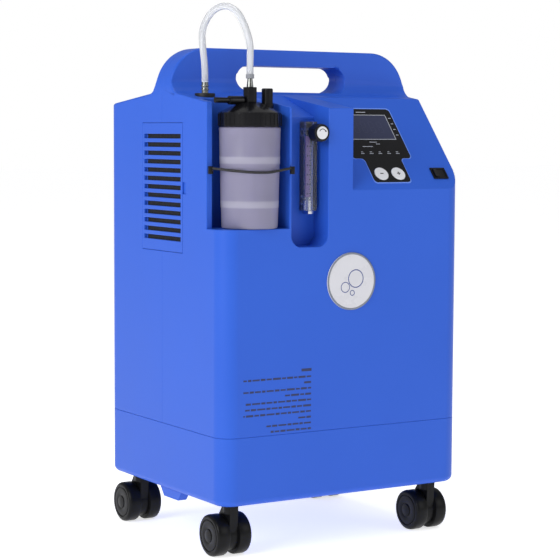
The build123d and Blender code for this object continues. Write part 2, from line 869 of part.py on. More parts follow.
# ---- elastic strap round the front of the bottle, between two anchors ----
taper = (jar_top_radius - jar_foot_radius) / (jar_shoulder_z - bottle_floor_z)
jar_radius_there = jar_foot_radius + taper * (strap_z - bottle_floor_z)
strap_path_radius = jar_radius_there + strap_radius + 1.5 * fit_gap
anchor_places = [
    (left_x + bay_left_wall / 2, bay_left_edge_y - anchor_radius),
    (bay_right_x + partition_wall / 2, front_y - anchor_radius),
]


def strap_point(angle):
    """Point of the strap's round stretch, by its angle about the bottle."""
    across = bottle_x + strap_path_radius * cos(angle)
    along = bottle_y + strap_path_radius * sin(angle)
    return Vector(across, along, strap_z)


def touch_angle(place, turn):
    """Angle about the bottle where a straight run from place touches the round stretch."""
    across = place[0] - bottle_x
    along = place[1] - bottle_y
    spread = acos(strap_path_radius / sqrt(across**2 + along**2))
    return atan2(along, across) % (2 * pi) + turn * spread


def off_anchor(place, towards):
    """Point on the side of an anchor that looks along the strap."""
    middle = Vector(place[0], place[1], strap_z)
    return middle + (towards - middle).normalized() * anchor_radius


left_angle = touch_angle(anchor_places[0], 1)
right_angle = touch_angle(anchor_places[1], -1)
left_touch = strap_point(left_angle)
right_touch = strap_point(right_angle)
with BuildPart() as retaining_strap:
    with BuildLine() as strap_path:
        Line(off_anchor(anchor_places[0], left_touch), left_touch)
        ThreePointArc(left_touch, strap_point((left_angle + right_angle) / 2), right_touch)
        Line(right_touch, off_anchor(anchor_places[1], right_touch))
    with BuildSketch(Plane(origin=strap_path.wire() @ 0, z_dir=strap_path.wire() % 0)):
        Circle(strap_radius)
    sweep(path=strap_path.wire())
finish(retaining_strap.part, "retaining_strap")

with BuildPart() as strap_anchors:
    with BuildSketch(Plane.XY.offset(strap_z - anchor_height / 2)):
        with Locations(*anchor_places):
            Circle(anchor_radius)
    extrude(amount=anchor_height)
finish(strap_anchors.part, "strap_anchors")

# ---- oxygen outlet and the tube that loops from it to the bottle ----
washer_z = roof_z(outlet_y) + washer_radius * tan(radians(roof_slope))
outlet_top_z = washer_z + outlet_height
with BuildPart() as outlet_washer:
    with BuildSketch(Plane.XY.offset(roof_z(outlet_y - washer_radius))):
        with Locations((outlet_x, outlet_y)):
            Circle(washer_radius)
            Circle(outlet_radius + fit_gap, mode=Mode.SUBTRACT)
    extrude(amount=washer_z + washer_thickness - roof_z(outlet_y - washer_radius))
    roof_cut = Plane(
        origin=(0, outlet_y, roof_z(outlet_y)),
        x_dir=(1, 0, 0),
        z_dir=(0, -sin(radians(roof_slope)), cos(radians(roof_slope))),
    )
    split(bisect_by=roof_cut, keep=Keep.TOP)
finish(outlet_washer.part, "outlet_washer")

with BuildPart() as outlet_barb:
    with BuildSketch(Plane.XY.offset(roof_z(outlet_y) - 4 * wall)):
        with Locations((outlet_x, outlet_y)):
            Circle(outlet_radius)
    extrude(amount=outlet_top_z - roof_z(outlet_y) + 4 * wall)
    for step in (0.35, 0.75):
        with BuildSketch(Plane.XY.offset(washer_z + washer_thickness + step * (outlet_height - 4.0))):
            with Locations((outlet_x, outlet_y)):
                Circle(outlet_radius + 1)
        extrude(amount=1.6)
finish(outlet_barb.part, "outlet_barb")

tube_points = [
    (outlet_x, outlet_y, outlet_top_z),
    (outlet_x, outlet_y, 576),
    (-147, -52, 598),
    (-147, -50, 620),
    (-141.5, -62, 640),
    (-134, -80, 647.4),
    (-127, -98, 640),
    (-122.5, -110, 621),
    (-120.5, -118, 600),
    (bottle_x, bottle_y, 583),
    (bottle_x, bottle_y, nipple_top_z),
]


def bend_radii(points):
    """Largest even arc at each inner point of a route."""
    spots = [Vector(*point) for point in points]
    radii = []
    for before, spot, after in zip(spots, spots[1:], spots[2:]):
        turn = radians((spot - before).get_angle(after - spot))
        shorter = min((spot - before).length, (after - spot).length)
        radii.append(0.45 * shorter / tan(turn / 2))
    return radii


tube_radii = bend_radii(tube_points)
with BuildPart() as oxygen_tube:
    with BuildLine() as tube_path:
        FilletPolyline(*tube_points, radius=tube_radii)
    with BuildSketch(Plane(origin=tube_points[0], z_dir=(0, 0, 1))):
        Circle(tube_radius)
    sweep(path=tube_path.wire())
finish(oxygen_tube.part, "oxygen_tube")
tube_section = pi * tube_radius**2
print("tube radii", [round(radius, 1) for radius in tube_radii])
print("tube length", round(tube_path.wire().length, 1))
print("tube volume over section", round(oxygen_tube.part.volume / tube_section, 1))

# ---- casters: hood with stem and axle, two wheels each ----
axle_z = wheel_diameter / 2
wheel_offset = hood_width / 2 + wheel_gap + wheel_width / 2
axle_length = hood_width + 2 * (wheel_gap + wheel_width) - 4.0
hood_top_z = base_bottom - hood_top_drop
names = ("front_left", "front_right", "back_left", "back_right")
for name, (x, y) in zip(names, caster_places):
    axle_y = y + caster_trail
    with BuildPart() as hood:
        with BuildSketch(Plane.YZ.offset(x - hood_width / 2)):
            with Locations((axle_y, axle_z)):
                Circle(hood_radius)
            with BuildLine():
                Polyline(
                    (y - hood_neck, hood_top_z),
                    (y + hood_neck, hood_top_z),
                    (axle_y + hood_radius - 2, axle_z + 8),
                    (axle_y - hood_radius + 1, axle_z + 4),
                    close=True,
                )
            make_face()
        extrude(amount=hood_width)
        with BuildSketch(Plane.XY.offset(wheel_diameter + 2)):
            with Locations((x, y)):
                Circle(hood_neck)
        extrude(amount=hood_top_z - wheel_diameter - 2)
        with BuildSketch(Plane.XY.offset(hood_top_z)):
            with Locations((x, y)):
                Circle(caster_stem_diameter / 2)
        extrude(amount=base_bottom - hood_top_z + caster_stem_height - 1.0)
        with BuildSketch(Plane.YZ.offset(x - axle_length / 2)):
            with Locations((axle_y, axle_z)):
                Circle(axle_diameter / 2)
        extrude(amount=axle_length)
    finish(hood.part, "caster_" + name)
    for side, sign in (("left", -1), ("right", 1)):
        wheel_x = x + sign * wheel_offset
        with BuildPart() as wheel:
            with BuildSketch(Plane.YZ.offset(wheel_x - wheel_width / 2)):
                with Locations((axle_y, axle_z)):
                    Circle(wheel_diameter / 2)
                    Circle(axle_diameter / 2 + shaft_clearance, mode=Mode.SUBTRACT)
            extrude(amount=wheel_width)
            circles = wheel.edges().filter_by(GeomType.CIRCLE)
            fillet(circles.filter_by(lambda edge: edge.radius > axle_diameter), wheel_edge)
        finish(wheel.part, "wheel_" + name + "_" + side)

# ---- compressor: body on rubber mounts, two heads ----
mount_z = tub_floor_z + mount_height
shaft_z = mount_z + 4.0 + compressor_radius
pad_z = shaft_z + compressor_radius + 4.0
head_x = compressor_length / 2 - head_width / 2 - 4.0
with BuildPart() as compressor_body:
    with BuildSketch(Plane.YZ.offset(compressor_x - compressor_length / 2)):
        with Locations((compressor_y, shaft_z)):
            Circle(compressor_radius)
    extrude(amount=compressor_length)
    fillet(compressor_body.edges(), 5.0)
    for foot in (-head_x, head_x):
        box_between(
            (compressor_x + foot - 18, compressor_y - compressor_radius, mount_z),
            (compressor_x + foot + 18, compressor_y + compressor_radius, mount_z + 8.0),
        )
        box_between(
            (compressor_x + foot - head_width / 2, compressor_y - head_depth / 2, shaft_z),
            (compressor_x + foot + head_width / 2, compressor_y + head_depth / 2, pad_z),
        )
    box_between(
        (compressor_x - hepa_radius, compressor_y - hepa_radius, shaft_z),
        (compressor_x + hepa_radius, compressor_y + hepa_radius, pad_z),
    )
finish(compressor_body.part, "compressor_body")

with BuildPart() as compressor_mounts:
    with BuildSketch(Plane.XY.offset(tub_floor_z)):
        with Locations((compressor_x, compressor_y)):
            with GridLocations(2 * head_x, 2 * (compressor_radius - mount_radius), 2, 2):
                Circle(mount_radius)
    extrude(amount=mount_height)
finish(compressor_mounts.part, "compressor_mounts")

with BuildPart() as compressor_heads:
    with BuildSketch(Plane.XY.offset(pad_z)):
        with Locations((compressor_x, compressor_y)):
            with GridLocations(2 * head_x, 1, 2, 1):
                Rectangle(head_width, head_depth)
    extrude(amount=head_height)
    with BuildSketch(Plane.XY.offset(pad_z + head_height)):
        with Locations((compressor_x, compressor_y)):
            with GridLocations(2 * head_x, 1, 2, 1):
                with GridLocations(8, 1, 5, 1):
                    Rectangle(4, head_depth + 2)
    extrude(amount=-head_height / 3, mode=Mode.SUBTRACT)
finish(compressor_heads.part, "compressor_heads")

with BuildPart() as intake_filter:
    with BuildSketch(Plane.XY.offset(pad_z)):
        with Locations((compressor_x, compressor_y)):
            Circle(hepa_radius)
    extrude(amount=hepa_height)
    fillet(intake_filter.edges().group_by(Axis.Z)[-1], 4.0)
finish(intake_filter.part, "intake_filter")

# ---- exhaust fan behind the grille, with the heat exchanger in front of it ----
fan_back_y = back_y - wall
fan_front_y = fan_back_y - fan_depth
with BuildPart() as fan_frame:
    with BuildSketch(Plane.XZ.offset(-fan_back_y)):
        with Locations((fan_x, fan_z)):
            RectangleRounded(fan_size, fan_size, 6.0)
            Circle(fan_size / 2 - 3, mode=Mode.SUBTRACT)
    extrude(amount=fan_depth)
    with BuildSketch(Plane.XZ.offset(-fan_back_y)):
        with Locations((fan_x, fan_z)):
            Circle(fan_hub_radius)
            for turn in (0, 45, 90, 135):
                Rectangle(fan_size - 2, 4.0, rotation=turn)
    extrude(amount=4.0)
finish(fan_frame.part, "fan_frame")

blade_length = fan_size / 2 - 5 - fan_hub_radius
with BuildPart() as fan_impeller:
    with BuildSketch(Plane.XZ.offset(-fan_back_y + 4.5)):
        with Locations((fan_x, fan_z)):
            Circle(fan_hub_radius)
    extrude(amount=fan_depth - 6.0)
    hub_middle_y = fan_back_y - 4.5 - (fan_depth - 6.0) / 2
    for index in range(fan_blades):
        turn = 360 * index / fan_blades
        blade = Box(blade_length + 2, 1.6, 26.0, rotation=(40, 0, 0), mode=Mode.PRIVATE)
        blade = blade.moved(Location((fan_hub_radius + blade_length / 2 - 1, 0, 0)))
        add(blade.moved(Location((fan_x, hub_middle_y, fan_z), (0, turn, 0))))
finish(fan_impeller.part, "fan_impeller")

fin_pitch = (fan_size - 8) / (fin_count - 1)
with BuildPart() as heat_exchanger:
    with BuildSketch(Plane.XZ.offset(-fan_front_y)):
        with Locations((fan_x, fan_z)):
            with GridLocations(fin_pitch, 1, fin_count, 1):
                Rectangle(fin_thickness, fan_size)
            with GridLocations(1, (fan_size - 8) / 3, 1, 4):
                Rectangle(fan_size, 6.0)
    extrude(amount=cooler_depth)
finish(heat_exchanger.part, "heat_exchanger")

# ---- sieve beds with the valve block across their tops, product tank ----
with BuildPart() as sieve_beds:
    with BuildSketch(Plane.XY.offset(tub_floor_z)):
        with Locations((bed_x, tank_y + bed_pitch / 2)):
            with GridLocations(1, bed_pitch, 1, 2):
                Circle(bed_radius)
    extrude(amount=bed_height)
    chamfer(sieve_beds.edges(), 3.0)
finish(sieve_beds.part, "sieve_beds")

valve_z = tub_floor_z + bed_height
with BuildPart() as valve_block:
    with BuildSketch(Plane.XY.offset(valve_z)):
        with Locations((bed_x, tank_y + bed_pitch / 2)):
            Rectangle(bed_radius, bed_pitch + bed_radius)
    extrude(amount=valve_height)
    with BuildSketch(Plane.XY.offset(valve_z + valve_height)):
        with Locations((bed_x, tank_y + bed_pitch / 2)):
            with GridLocations(1, bed_radius - 6, 1, 3):
                Circle(10.0)
    extrude(amount=22.0)
finish(valve_block.part, "valve_block")

with BuildPart() as product_tank:
    with BuildSketch(Plane.XY.offset(tub_floor_z)):
        with Locations((tank_x, tank_y)):
            Circle(tank_radius)
    extrude(amount=tank_height)
    fillet(product_tank.edges(), 8.0)
finish(product_tank.part, "product_tank")

# ---- control board on posts from the right wall, run capacitor on the floor ----
board_low = (tank_y + bed_pitch + bed_radius + 8.0, 200.0)
board_high = (back_y - corner_radius - 4.0, 330.0)
board_x = right_x - wall - board_gap
with BuildPart() as control_board:
    box_between(
        (board_x - board_thickness, board_low[0], board_low[1]),
        (board_x, board_high[0], board_high[1]),
    )
    with BuildSketch(Plane.YZ.offset(board_x)):
        with Locations(((board_low[0] + board_high[0]) / 2, (board_low[1] + board_high[1]) / 2)):
            post_pitch = (board_high[0] - board_low[0] - 8.0, board_high[1] - board_low[1] - 8.0)
            with GridLocations(*post_pitch, 2, 2):
                Circle(3.0)
    extrude(amount=board_gap)
    box_between(
        (board_x - board_thickness - 20, board_low[0] + 6, board_low[1] + 12),
        (board_x - board_thickness, board_low[0] + 30, board_low[1] + 44),
    )
finish(control_board.part, "control_board")

with BuildPart() as run_capacitor:
    with BuildSketch(Plane.XY.offset(tub_floor_z)):
        with Locations((tank_x / 2, tank_y + 2 * bed_pitch)):
            Circle(capacitor_radius)
    extrude(amount=capacitor_height)
    chamfer(run_capacitor.edges().group_by(Axis.Z)[-1], 2.0)
finish(run_capacitor.part, "run_capacitor")

# ---- back: exhaust grille and power inlet ----
slot_pitch = (grille_size - 16.0) / grille_slots
with BuildPart() as exhaust_grille:
    with BuildSketch(Plane.XZ.offset(-back_y)):
        with Locations((fan_x, fan_z)):
            Rectangle(grille_size, grille_size)
    extrude(amount=grille_thickness / 2)
    with BuildSketch(Plane.XZ.offset(-back_y)):
        with Locations((fan_x, fan_z)):
            Rectangle(fan_size - 2 - 2 * fit_gap, fan_size - 2 - 2 * fit_gap)
    extrude(amount=grille_thickness)
    with BuildSketch(Plane.XZ.offset(-back_y)):
        with Locations((fan_x, fan_z)):
            with GridLocations(1, slot_pitch, 1, grille_slots):
                SlotOverall(grille_size - 22.0, grille_slot_height)
    extrude(amount=grille_thickness, mode=Mode.SUBTRACT)
finish(exhaust_grille.part, "exhaust_grille")

with BuildPart() as power_inlet:
    with BuildSketch(Plane.XZ.offset(-back_y)):
        with Locations((inlet_x, inlet_z)):
            Rectangle(inlet_width + 2 * inlet_flange, inlet_height + 2 * inlet_flange)
    extrude(amount=grille_thickness / 2)
    with BuildSketch(Plane.XZ.offset(-back_y)):
        with Locations((inlet_x, inlet_z)):
            Rectangle(inlet_width, inlet_height)
    extrude(amount=inlet_depth)
    with BuildSketch(Plane.XZ.offset(-back_y)):
        with Locations((inlet_x, inlet_z)):
            Rectangle(inlet_width - 2 * inlet_wall, inlet_height - 2 * inlet_wall)
    extrude(amount=inlet_depth - inlet_wall, mode=Mode.SUBTRACT)
    with BuildSketch(Plane.XZ.offset(-back_y + inlet_depth - inlet_wall)):
        with Locations((inlet_x, inlet_z - pin_drop)):
            with GridLocations(pin_pitch, 1, 3, 1):
                Rectangle(pin_width, pin_height)
    extrude(amount=-inlet_depth + 2 * inlet_wall)
finish(power_inlet.part, "power_inlet")
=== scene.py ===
from math import cos, pi, radians, sin

import bmesh
import bpy
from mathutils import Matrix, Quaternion, Vector


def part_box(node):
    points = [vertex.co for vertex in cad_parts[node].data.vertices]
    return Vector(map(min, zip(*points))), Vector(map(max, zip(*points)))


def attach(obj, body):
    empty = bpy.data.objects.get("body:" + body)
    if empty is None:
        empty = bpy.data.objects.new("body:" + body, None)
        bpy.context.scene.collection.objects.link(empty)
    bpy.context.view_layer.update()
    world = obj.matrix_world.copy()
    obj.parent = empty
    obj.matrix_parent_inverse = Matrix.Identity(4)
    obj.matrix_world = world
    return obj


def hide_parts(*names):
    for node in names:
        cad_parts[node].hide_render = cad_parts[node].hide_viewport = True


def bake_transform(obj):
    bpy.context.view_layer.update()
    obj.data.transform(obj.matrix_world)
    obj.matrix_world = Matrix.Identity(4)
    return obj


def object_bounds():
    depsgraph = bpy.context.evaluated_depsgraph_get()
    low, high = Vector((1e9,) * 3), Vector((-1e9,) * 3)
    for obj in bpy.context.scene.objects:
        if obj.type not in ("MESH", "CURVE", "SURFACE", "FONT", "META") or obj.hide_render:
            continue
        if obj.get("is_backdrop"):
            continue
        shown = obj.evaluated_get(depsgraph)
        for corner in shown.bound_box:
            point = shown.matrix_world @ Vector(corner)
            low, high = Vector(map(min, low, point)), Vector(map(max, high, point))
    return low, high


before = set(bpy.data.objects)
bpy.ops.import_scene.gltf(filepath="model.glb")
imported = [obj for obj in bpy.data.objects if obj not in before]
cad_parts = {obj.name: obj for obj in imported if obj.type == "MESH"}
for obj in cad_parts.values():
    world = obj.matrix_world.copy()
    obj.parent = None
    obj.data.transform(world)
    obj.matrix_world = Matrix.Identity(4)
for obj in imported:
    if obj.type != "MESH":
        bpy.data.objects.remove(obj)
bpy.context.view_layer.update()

# ---- camera ----
# A long lens a little above the middle of the machine, looking at its front left corner.
seam_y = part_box("front_shell")[1].y
front_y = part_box("front_shell")[0].y
aim = Vector((0, seam_y, 0.313))
azimuth = radians(-31.8)
elevation = radians(4.7)
away = Vector((sin(azimuth) * cos(elevation), -cos(azimuth) * cos(elevation), sin(elevation)))
lens = bpy.data.cameras.new("camera")
lens.angle = radians(17.74)
lens.clip_end = 50
lens.shift_x = -0.0036
camera = bpy.data.objects.new("camera", lens)
camera.location = aim + 2.266 * away
camera_turn = (-away).to_track_quat("-Z", "Y") @ Quaternion((0, 0, 1), radians(0.27))
camera.rotation_euler = camera_turn.to_euler()
bpy.context.collection.objects.link(camera)
bpy.context.scene.camera = camera


# ---- oxygen tube ----
# Clear soft PVC hose, 8 mm outside with a 5.2 mm bore. It is extruded, pushed over the outlet's
# barb at one end and into the cuff on the bottle's inlet at the other, and stands in a free loop.
def deselect():
    """Leaves object mode with nothing selected."""
    if bpy.context.object and bpy.context.object.mode != "OBJECT":
        bpy.ops.object.mode_set(mode="OBJECT")
    bpy.ops.object.select_all(action="DESELECT")


def take(piece):
    """Makes a piece the only one selected, and the active one."""
    deselect()
    piece.select_set(True)
    bpy.context.view_layer.objects.active = piece


def apply_all(piece):
    """Applies the piece's modifiers from the top down."""
    take(piece)
    for modifier in list(piece.modifiers):
        bpy.ops.object.modifier_apply(modifier=modifier.name)


def finish_of(
    name, colour, dark, roughness, patch=14.0, grain=900.0, relief=0.00004, spread=0.06, shine=0.5
):
    """Material of one moulded or cast stuff: its colour drifts to a darker one in soft patches,
    its roughness drifts too, and a fine grain stands up from it."""
    material = bpy.data.materials.new(name)
    material.use_nodes = True
    nodes, links = material.node_tree.nodes, material.node_tree.links
    shader = nodes["Principled BSDF"]
    shader.inputs["Specular IOR Level"].default_value = shine
    place = nodes.new("ShaderNodeTexCoord")
    cloud = nodes.new("ShaderNodeTexNoise")
    cloud.name = "cloud"
    cloud.inputs["Scale"].default_value = patch
    cloud.inputs["Detail"].default_value = 4.0
    links.new(place.outputs["Object"], cloud.inputs["Vector"])
    ramp = nodes.new("ShaderNodeValToRGB")
    ramp.name = "ramp"
    ramp.color_ramp.elements[0].position = 0.25
    ramp.color_ramp.elements[0].color = (*dark, 1)
    ramp.color_ramp.elements[1].position = 0.75
    ramp.color_ramp.elements[1].color = (*colour, 1)
    links.new(cloud.outputs["Fac"], ramp.inputs["Fac"])
    links.new(ramp.outputs["Color"], shader.inputs["Base Color"])
    gloss = nodes.new("ShaderNodeMapRange")
    gloss.inputs["To Min"].default_value = max(0.02, roughness - spread)
    gloss.inputs["To Max"].default_value = roughness + spread
    links.new(cloud.outputs["Fac"], gloss.inputs["Value"])
    links.new(gloss.outputs["Result"], shader.inputs["Roughness"])
    fine = nodes.new("ShaderNodeTexNoise")
    fine.name = "grain"
    fine.inputs["Scale"].default_value = grain
    fine.inputs["Detail"].default_value = 2.0
    links.new(place.outputs["Object"], fine.inputs["Vector"])
    bump = nodes.new("ShaderNodeBump")
    bump.name = "bump"
    bump.inputs["Strength"].default_value = 0.5
    bump.inputs["Distance"].default_value = relief
    links.new(fine.outputs["Fac"], bump.inputs["Height"])
    links.new(bump.outputs["Normal"], shader.inputs["Normal"])
    return material


def tune(material, **values):
    """Sets numbers on the material's shader. A socket's name is written with underscores."""
    shader = material.node_tree.nodes["Principled BSDF"]
    for socket, value in values.items():
        shader.inputs[socket.replace("_", " ")].default_value = value


def wear(piece, material):
    """Gives a piece its one material."""
    piece.data.materials.clear()
    piece.data.materials.append(material)
    return piece


outlet_low, outlet_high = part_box("outlet_barb")
nipple_low, nipple_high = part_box("inlet_nipple")
outlet = Vector(((outlet_low.x + outlet_high.x) / 2, (outlet_low.y + outlet_high.y) / 2, outlet_high.z))
nipple = Vector(((nipple_low.x + nipple_high.x) / 2, (nipple_low.y + nipple_high.y) / 2, nipple_high.z))
tube_route = [
    outlet,
    (outlet.x, outlet.y, 0.576),
    (-0.147, -0.052, 0.598),
    (-0.147, -0.050, 0.620),
    (-0.1415, -0.062, 0.640),
    (-0.134, -0.080, 0.6474),
    (-0.127, -0.098, 0.640),
    (-0.1225, -0.110, 0.621),
    (-0.1205, -0.118, 0.600),
    (nipple.x, nipple.y, 0.583),
    nipple,
]
tube_radius = 0.004
tube_wall = 0.0014
tube_line = bpy.data.curves.new("oxygen_hose", "CURVE")
tube_line.dimensions = "3D"
spline = tube_line.splines.new("NURBS")
spline.points.add(len(tube_route) - 1)
for point, spot in zip(spline.points, tube_route):
    point.co = (*spot, 1)
spline.order_u = 3
spline.use_endpoint_u = True
spline.resolution_u = 24
hose = bpy.data.objects.new("oxygen_hose", tube_line)
bpy.context.collection.objects.link(hose)
evaluated = hose.evaluated_get(bpy.context.evaluated_depsgraph_get())
hose_path = [vertex.co.copy() for vertex in bpy.data.meshes.new_from_object(evaluated).vertices]
tube_line.bevel_depth = tube_radius
tube_line.bevel_resolution = 10
take(hose)
bpy.ops.object.convert(target="MESH")
hose = bpy.context.object
wall = hose.modifiers.new("wall", "SOLIDIFY")
wall.thickness = tube_wall
wall.offset = -1
apply_all(hose)
bpy.ops.object.shade_smooth_by_angle(angle=radians(40))
clear_hose = finish_of(
    "clear_hose", (0.97, 0.98, 1.0), (0.93, 0.95, 0.99), 0.14,
    patch=40, relief=0.000004,
)
tune(clear_hose, Transmission_Weight=0.62, IOR=1.40)
wear(hose, clear_hose)
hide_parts("oxygen_tube")
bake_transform(hose)


# ---- housing: front shell, rear shell and base tub ----
# Injection-moulded ABS about 3 mm thick, in a satin blue with a fine spark grain. The two upper
# shells meet at a seam over the handle, and stand on the tub, which is closed by screws.
def merged_copy(node, name, flatten=True):
    """New piece in the shape of a CAD node, with its loose triangles merged, into whole flat
    faces where flatten is true."""
    piece = bpy.data.objects.new(name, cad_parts[node].data.copy())
    bpy.context.collection.objects.link(piece)
    take(piece)
    if piece.data.has_custom_normals:
        bpy.ops.mesh.customdata_custom_splitnormals_clear()
    bpy.ops.object.mode_set(mode="EDIT")
    bpy.ops.mesh.select_all(action="SELECT")
    bpy.ops.mesh.remove_doubles(threshold=0.000004)
    if flatten:
        bpy.ops.mesh.dissolve_limited(angle_limit=radians(0.3))
    bpy.ops.object.mode_set(mode="OBJECT")
    return piece


def whole_copy(node, name):
    """Merged copy of a CAD node that takes the node's place."""
    piece = merged_copy(node, name)
    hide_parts(node)
    return piece


def even_shading(piece):
    """Smooth shading that keeps flat faces flat beside their rounded edges."""
    take(piece)
    bpy.ops.object.shade_smooth_by_angle(angle=radians(38))
    weighted = piece.modifiers.new("even", "WEIGHTED_NORMAL")
    weighted.keep_sharp = True
    bpy.ops.object.modifier_apply(modifier="even")


def soften(piece, width):
    """Rounds the sharp edges of a piece by the same small width."""
    edges = piece.modifiers.new("edges", "BEVEL")
    edges.width = width
    edges.segments = 2
    edges.limit_method = "ANGLE"
    edges.angle_limit = radians(32)
    edges.use_clamp_overlap = True
    apply_all(piece)
    even_shading(piece)
    return piece


hump_front_y = -0.0152
hump_back_y = 0.0218
hump_foot_z = 0.545
hump_taper = 0.030
side_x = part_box("rear_shell")[1].x
overlay_low, overlay_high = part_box("display_overlay")
switch_low, switch_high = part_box("switch_frame")
large_edge = 0.0030
rim_edge = 0.0011
line_edge = 0.0005
panel_back_y = -0.0465
door_reach = 0.062
door_foot_z = 0.2
door_head_z = 0.517
left_side_foot_z = 0.522
right_side_foot_z = 0.40
back_foot_z = 0.45
seat_room = 0.002
outlet_room = 0.006


def shell_edge(spot):
    """Width of the rounding on an outer edge of the housing, by where the edge lies."""
    by_door = spot.x < 0 and abs(spot.y - seam_y) < door_reach and door_foot_z < spot.z < door_head_z
    if by_door or abs(spot.y - seam_y) < 0.0002:
        return line_edge
    on_hump = min(abs(spot.y - hump_front_y), abs(spot.y - hump_back_y)) < 0.0004
    if on_hump:
        share = min(1, max(0, (spot.z - hump_foot_z) / hump_taper))
        return rim_edge + share * (large_edge - rim_edge)
    side_foot_z = right_side_foot_z if spot.x > 0 else left_side_foot_z
    if abs(spot.x) > side_x - 0.0004 and spot.z > side_foot_z:
        return large_edge if spot.y > panel_back_y else rim_edge
    if spot.y > hump_back_y + 0.02 and spot.z > back_foot_z:
        return large_edge
    over_overlay = overlay_low.x - seat_room < spot.x < overlay_high.x + seat_room
    if over_overlay and overlay_low.z - seat_room < spot.z < overlay_high.z + seat_room:
        return 0
    if switch_low.x < spot.x < switch_high.x and switch_low.z < spot.z < switch_high.z:
        return 0
    if (spot - outlet).xy.length < outlet_room:
        return 0
    return rim_edge


def soften_outside(piece, width_at):
    """Rounds the outward edges that open air can reach, each by the width that its place has."""
    shape = bmesh.new()
    shape.from_mesh(piece.data)
    shape.normal_update()
    weight = shape.edges.layers.float.new("bevel_weight_edge")
    for edge in shape.edges:
        if len(edge.link_faces) != 2 or edge.calc_face_angle_signed(0) < radians(24):
            continue
        middle = (edge.verts[0].co + edge.verts[1].co) / 2
        out = (edge.link_faces[0].normal + edge.link_faces[1].normal).normalized()
        if not piece.ray_cast(middle + 0.0004 * out, out)[0]:
            edge[weight] = width_at(middle) / large_edge
    shape.to_mesh(piece.data)
    shape.free()
    edges = piece.modifiers.new("edges", "BEVEL")
    edges.width = large_edge
    edges.segments = 4
    edges.limit_method = "WEIGHT"
    edges.use_clamp_overlap = False
    apply_all(piece)
    even_shading(piece)


blue = finish_of(
    "blue_abs", (0.026, 0.108, 0.580), (0.023, 0.100, 0.550), 0.40,
    patch=6, grain=1500, relief=0.00003, shine=0.22,
)
front_case = whole_copy("front_shell", "front_case")
rear_case = whole_copy("rear_shell", "rear_case")
tub = whole_copy("base_tub", "tub")
for case in (front_case, rear_case):
    soften_outside(case, shell_edge)
soften_outside(tub, lambda spot: line_edge)
for case in (front_case, rear_case, tub):
    wear(case, blue)
    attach(case, "housing")

# ---- printed notice ----
# Screen-printed block low on the front. It holds only plain bars in rows, in dark blue ink,
# each row set against the right margin like the paragraphs of a notice.
ink = finish_of("dark_ink", (0.012, 0.022, 0.10), (0.008, 0.015, 0.07), 0.5, patch=200)


def slab(middle, size, turn=(0, 0, 0), edge=0.0):
    """Small plate: a cube scaled at its place, with its upright edges rounded."""
    deselect()
    bpy.ops.mesh.primitive_cube_add(size=1, location=middle, rotation=turn)
    piece = bpy.context.object
    piece.scale = size
    bpy.ops.object.transform_apply(location=True, rotation=True, scale=True)
    if edge:
        corners = piece.modifiers.new("corners", "BEVEL")
        corners.width = edge
        corners.segments = 2
        apply_all(piece)
    return piece


def joined(parts, name):
    """One piece out of several."""
    deselect()
    for part in parts:
        part.select_set(True)
    bpy.context.view_layer.objects.active = parts[0]
    bpy.ops.object.join()
    piece = bpy.context.object
    piece.name = name
    return piece


notice_right_x = -0.050
notice_width = 0.093
notice_top_z = 0.2115
notice_pitch = 0.0069
row_lengths = [1.0, 0.12, 1.0, 0.39, 1.0, 1.0, 1.0, 0.21, 0.68, 0.60]
word_lengths = [0.0062, 0.0098, 0.0045, 0.0081, 0.0054, 0.0110, 0.0070]
ink_depth = 0.0003
bars = [slab((-0.0565, front_y, 0.2195), (0.014, ink_depth, 0.0034), edge=0.0001)]
for row, share in enumerate(row_lengths):
    x = notice_right_x
    word = row
    while x > notice_right_x - share * notice_width + 0.002:
        length = min(word_lengths[word % len(word_lengths)], x - notice_right_x + share * notice_width)
        spot = (x - length / 2, front_y, notice_top_z - row * notice_pitch)
        bars.append(slab(spot, (length, ink_depth, 0.0019 + 0.0005 * (word % 2)), edge=0.0001))
        x -= length + 0.0016
        word += 1
notice = wear(joined(bars, "notice"), ink)
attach(notice, "housing")

# ---- display: film overlay, window, marks, buttons and their board ----
# A glossy black film is glued into a shallow seat in the slanted panel, inside a thin lip whose pale
# blue is a painted highlight on the seat's edge, with a dark liquid-crystal window. Two white keys press
# switches on the board behind it.
panel_angle = radians(49.9)
panel_foot_z = 0.4308
panel_turn = (panel_angle, 0, 0)
middle_x = (overlay_low.x + overlay_high.x) / 2
film_out = 0.0006
print_depth = 0.0002


def on_panel(x, up, out=0.0):
    """Point on the slanted panel: across, up the slope, and out of it."""
    along = Vector((0, cos(panel_angle), sin(panel_angle)))
    outward = Vector((0, -sin(panel_angle), cos(panel_angle)))
    return Vector((x, front_y, panel_foot_z)) + up * along + out * outward


def dash(x, up, width, height, out=film_out):
    """Flat mark printed on the panel."""
    return slab(on_panel(x, up, out), (width, height, print_depth), panel_turn)


film = finish_of(
    "black_film", (0.006, 0.006, 0.008), (0.004, 0.004, 0.005), 0.14,
    patch=25, relief=0.00001, shine=0.3,
)
overlay = soften(whole_copy("display_overlay", "overlay"), 0.0003)
wear(overlay, film)
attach(overlay, "housing")

# Painted highlight: the lip is a paler blue than the shell, standing in for the light caught on the edge
# of the film's seat.
lip_painted_highlight = finish_of("lip_painted_highlight", (0.16, 0.30, 0.86), (0.13, 0.26, 0.80), 0.35, patch=40)
lip_width = 0.0013
lip_sink = 0.00045
lip = bpy.data.objects.new("overlay_lip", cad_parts["display_overlay"].data.copy())
bpy.context.collection.objects.link(lip)
overlay_middle = (overlay_low + overlay_high) / 2
grow = 1 + 2 * lip_width / (overlay_high.x - overlay_low.x)
outward = on_panel(0, 0, 1) - on_panel(0, 0, 0)
for vertex in lip.data.vertices:
    vertex.co = overlay_middle + grow * (vertex.co - overlay_middle) - lip_sink * outward
wear(lip, lip_painted_highlight)
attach(lip, "housing")

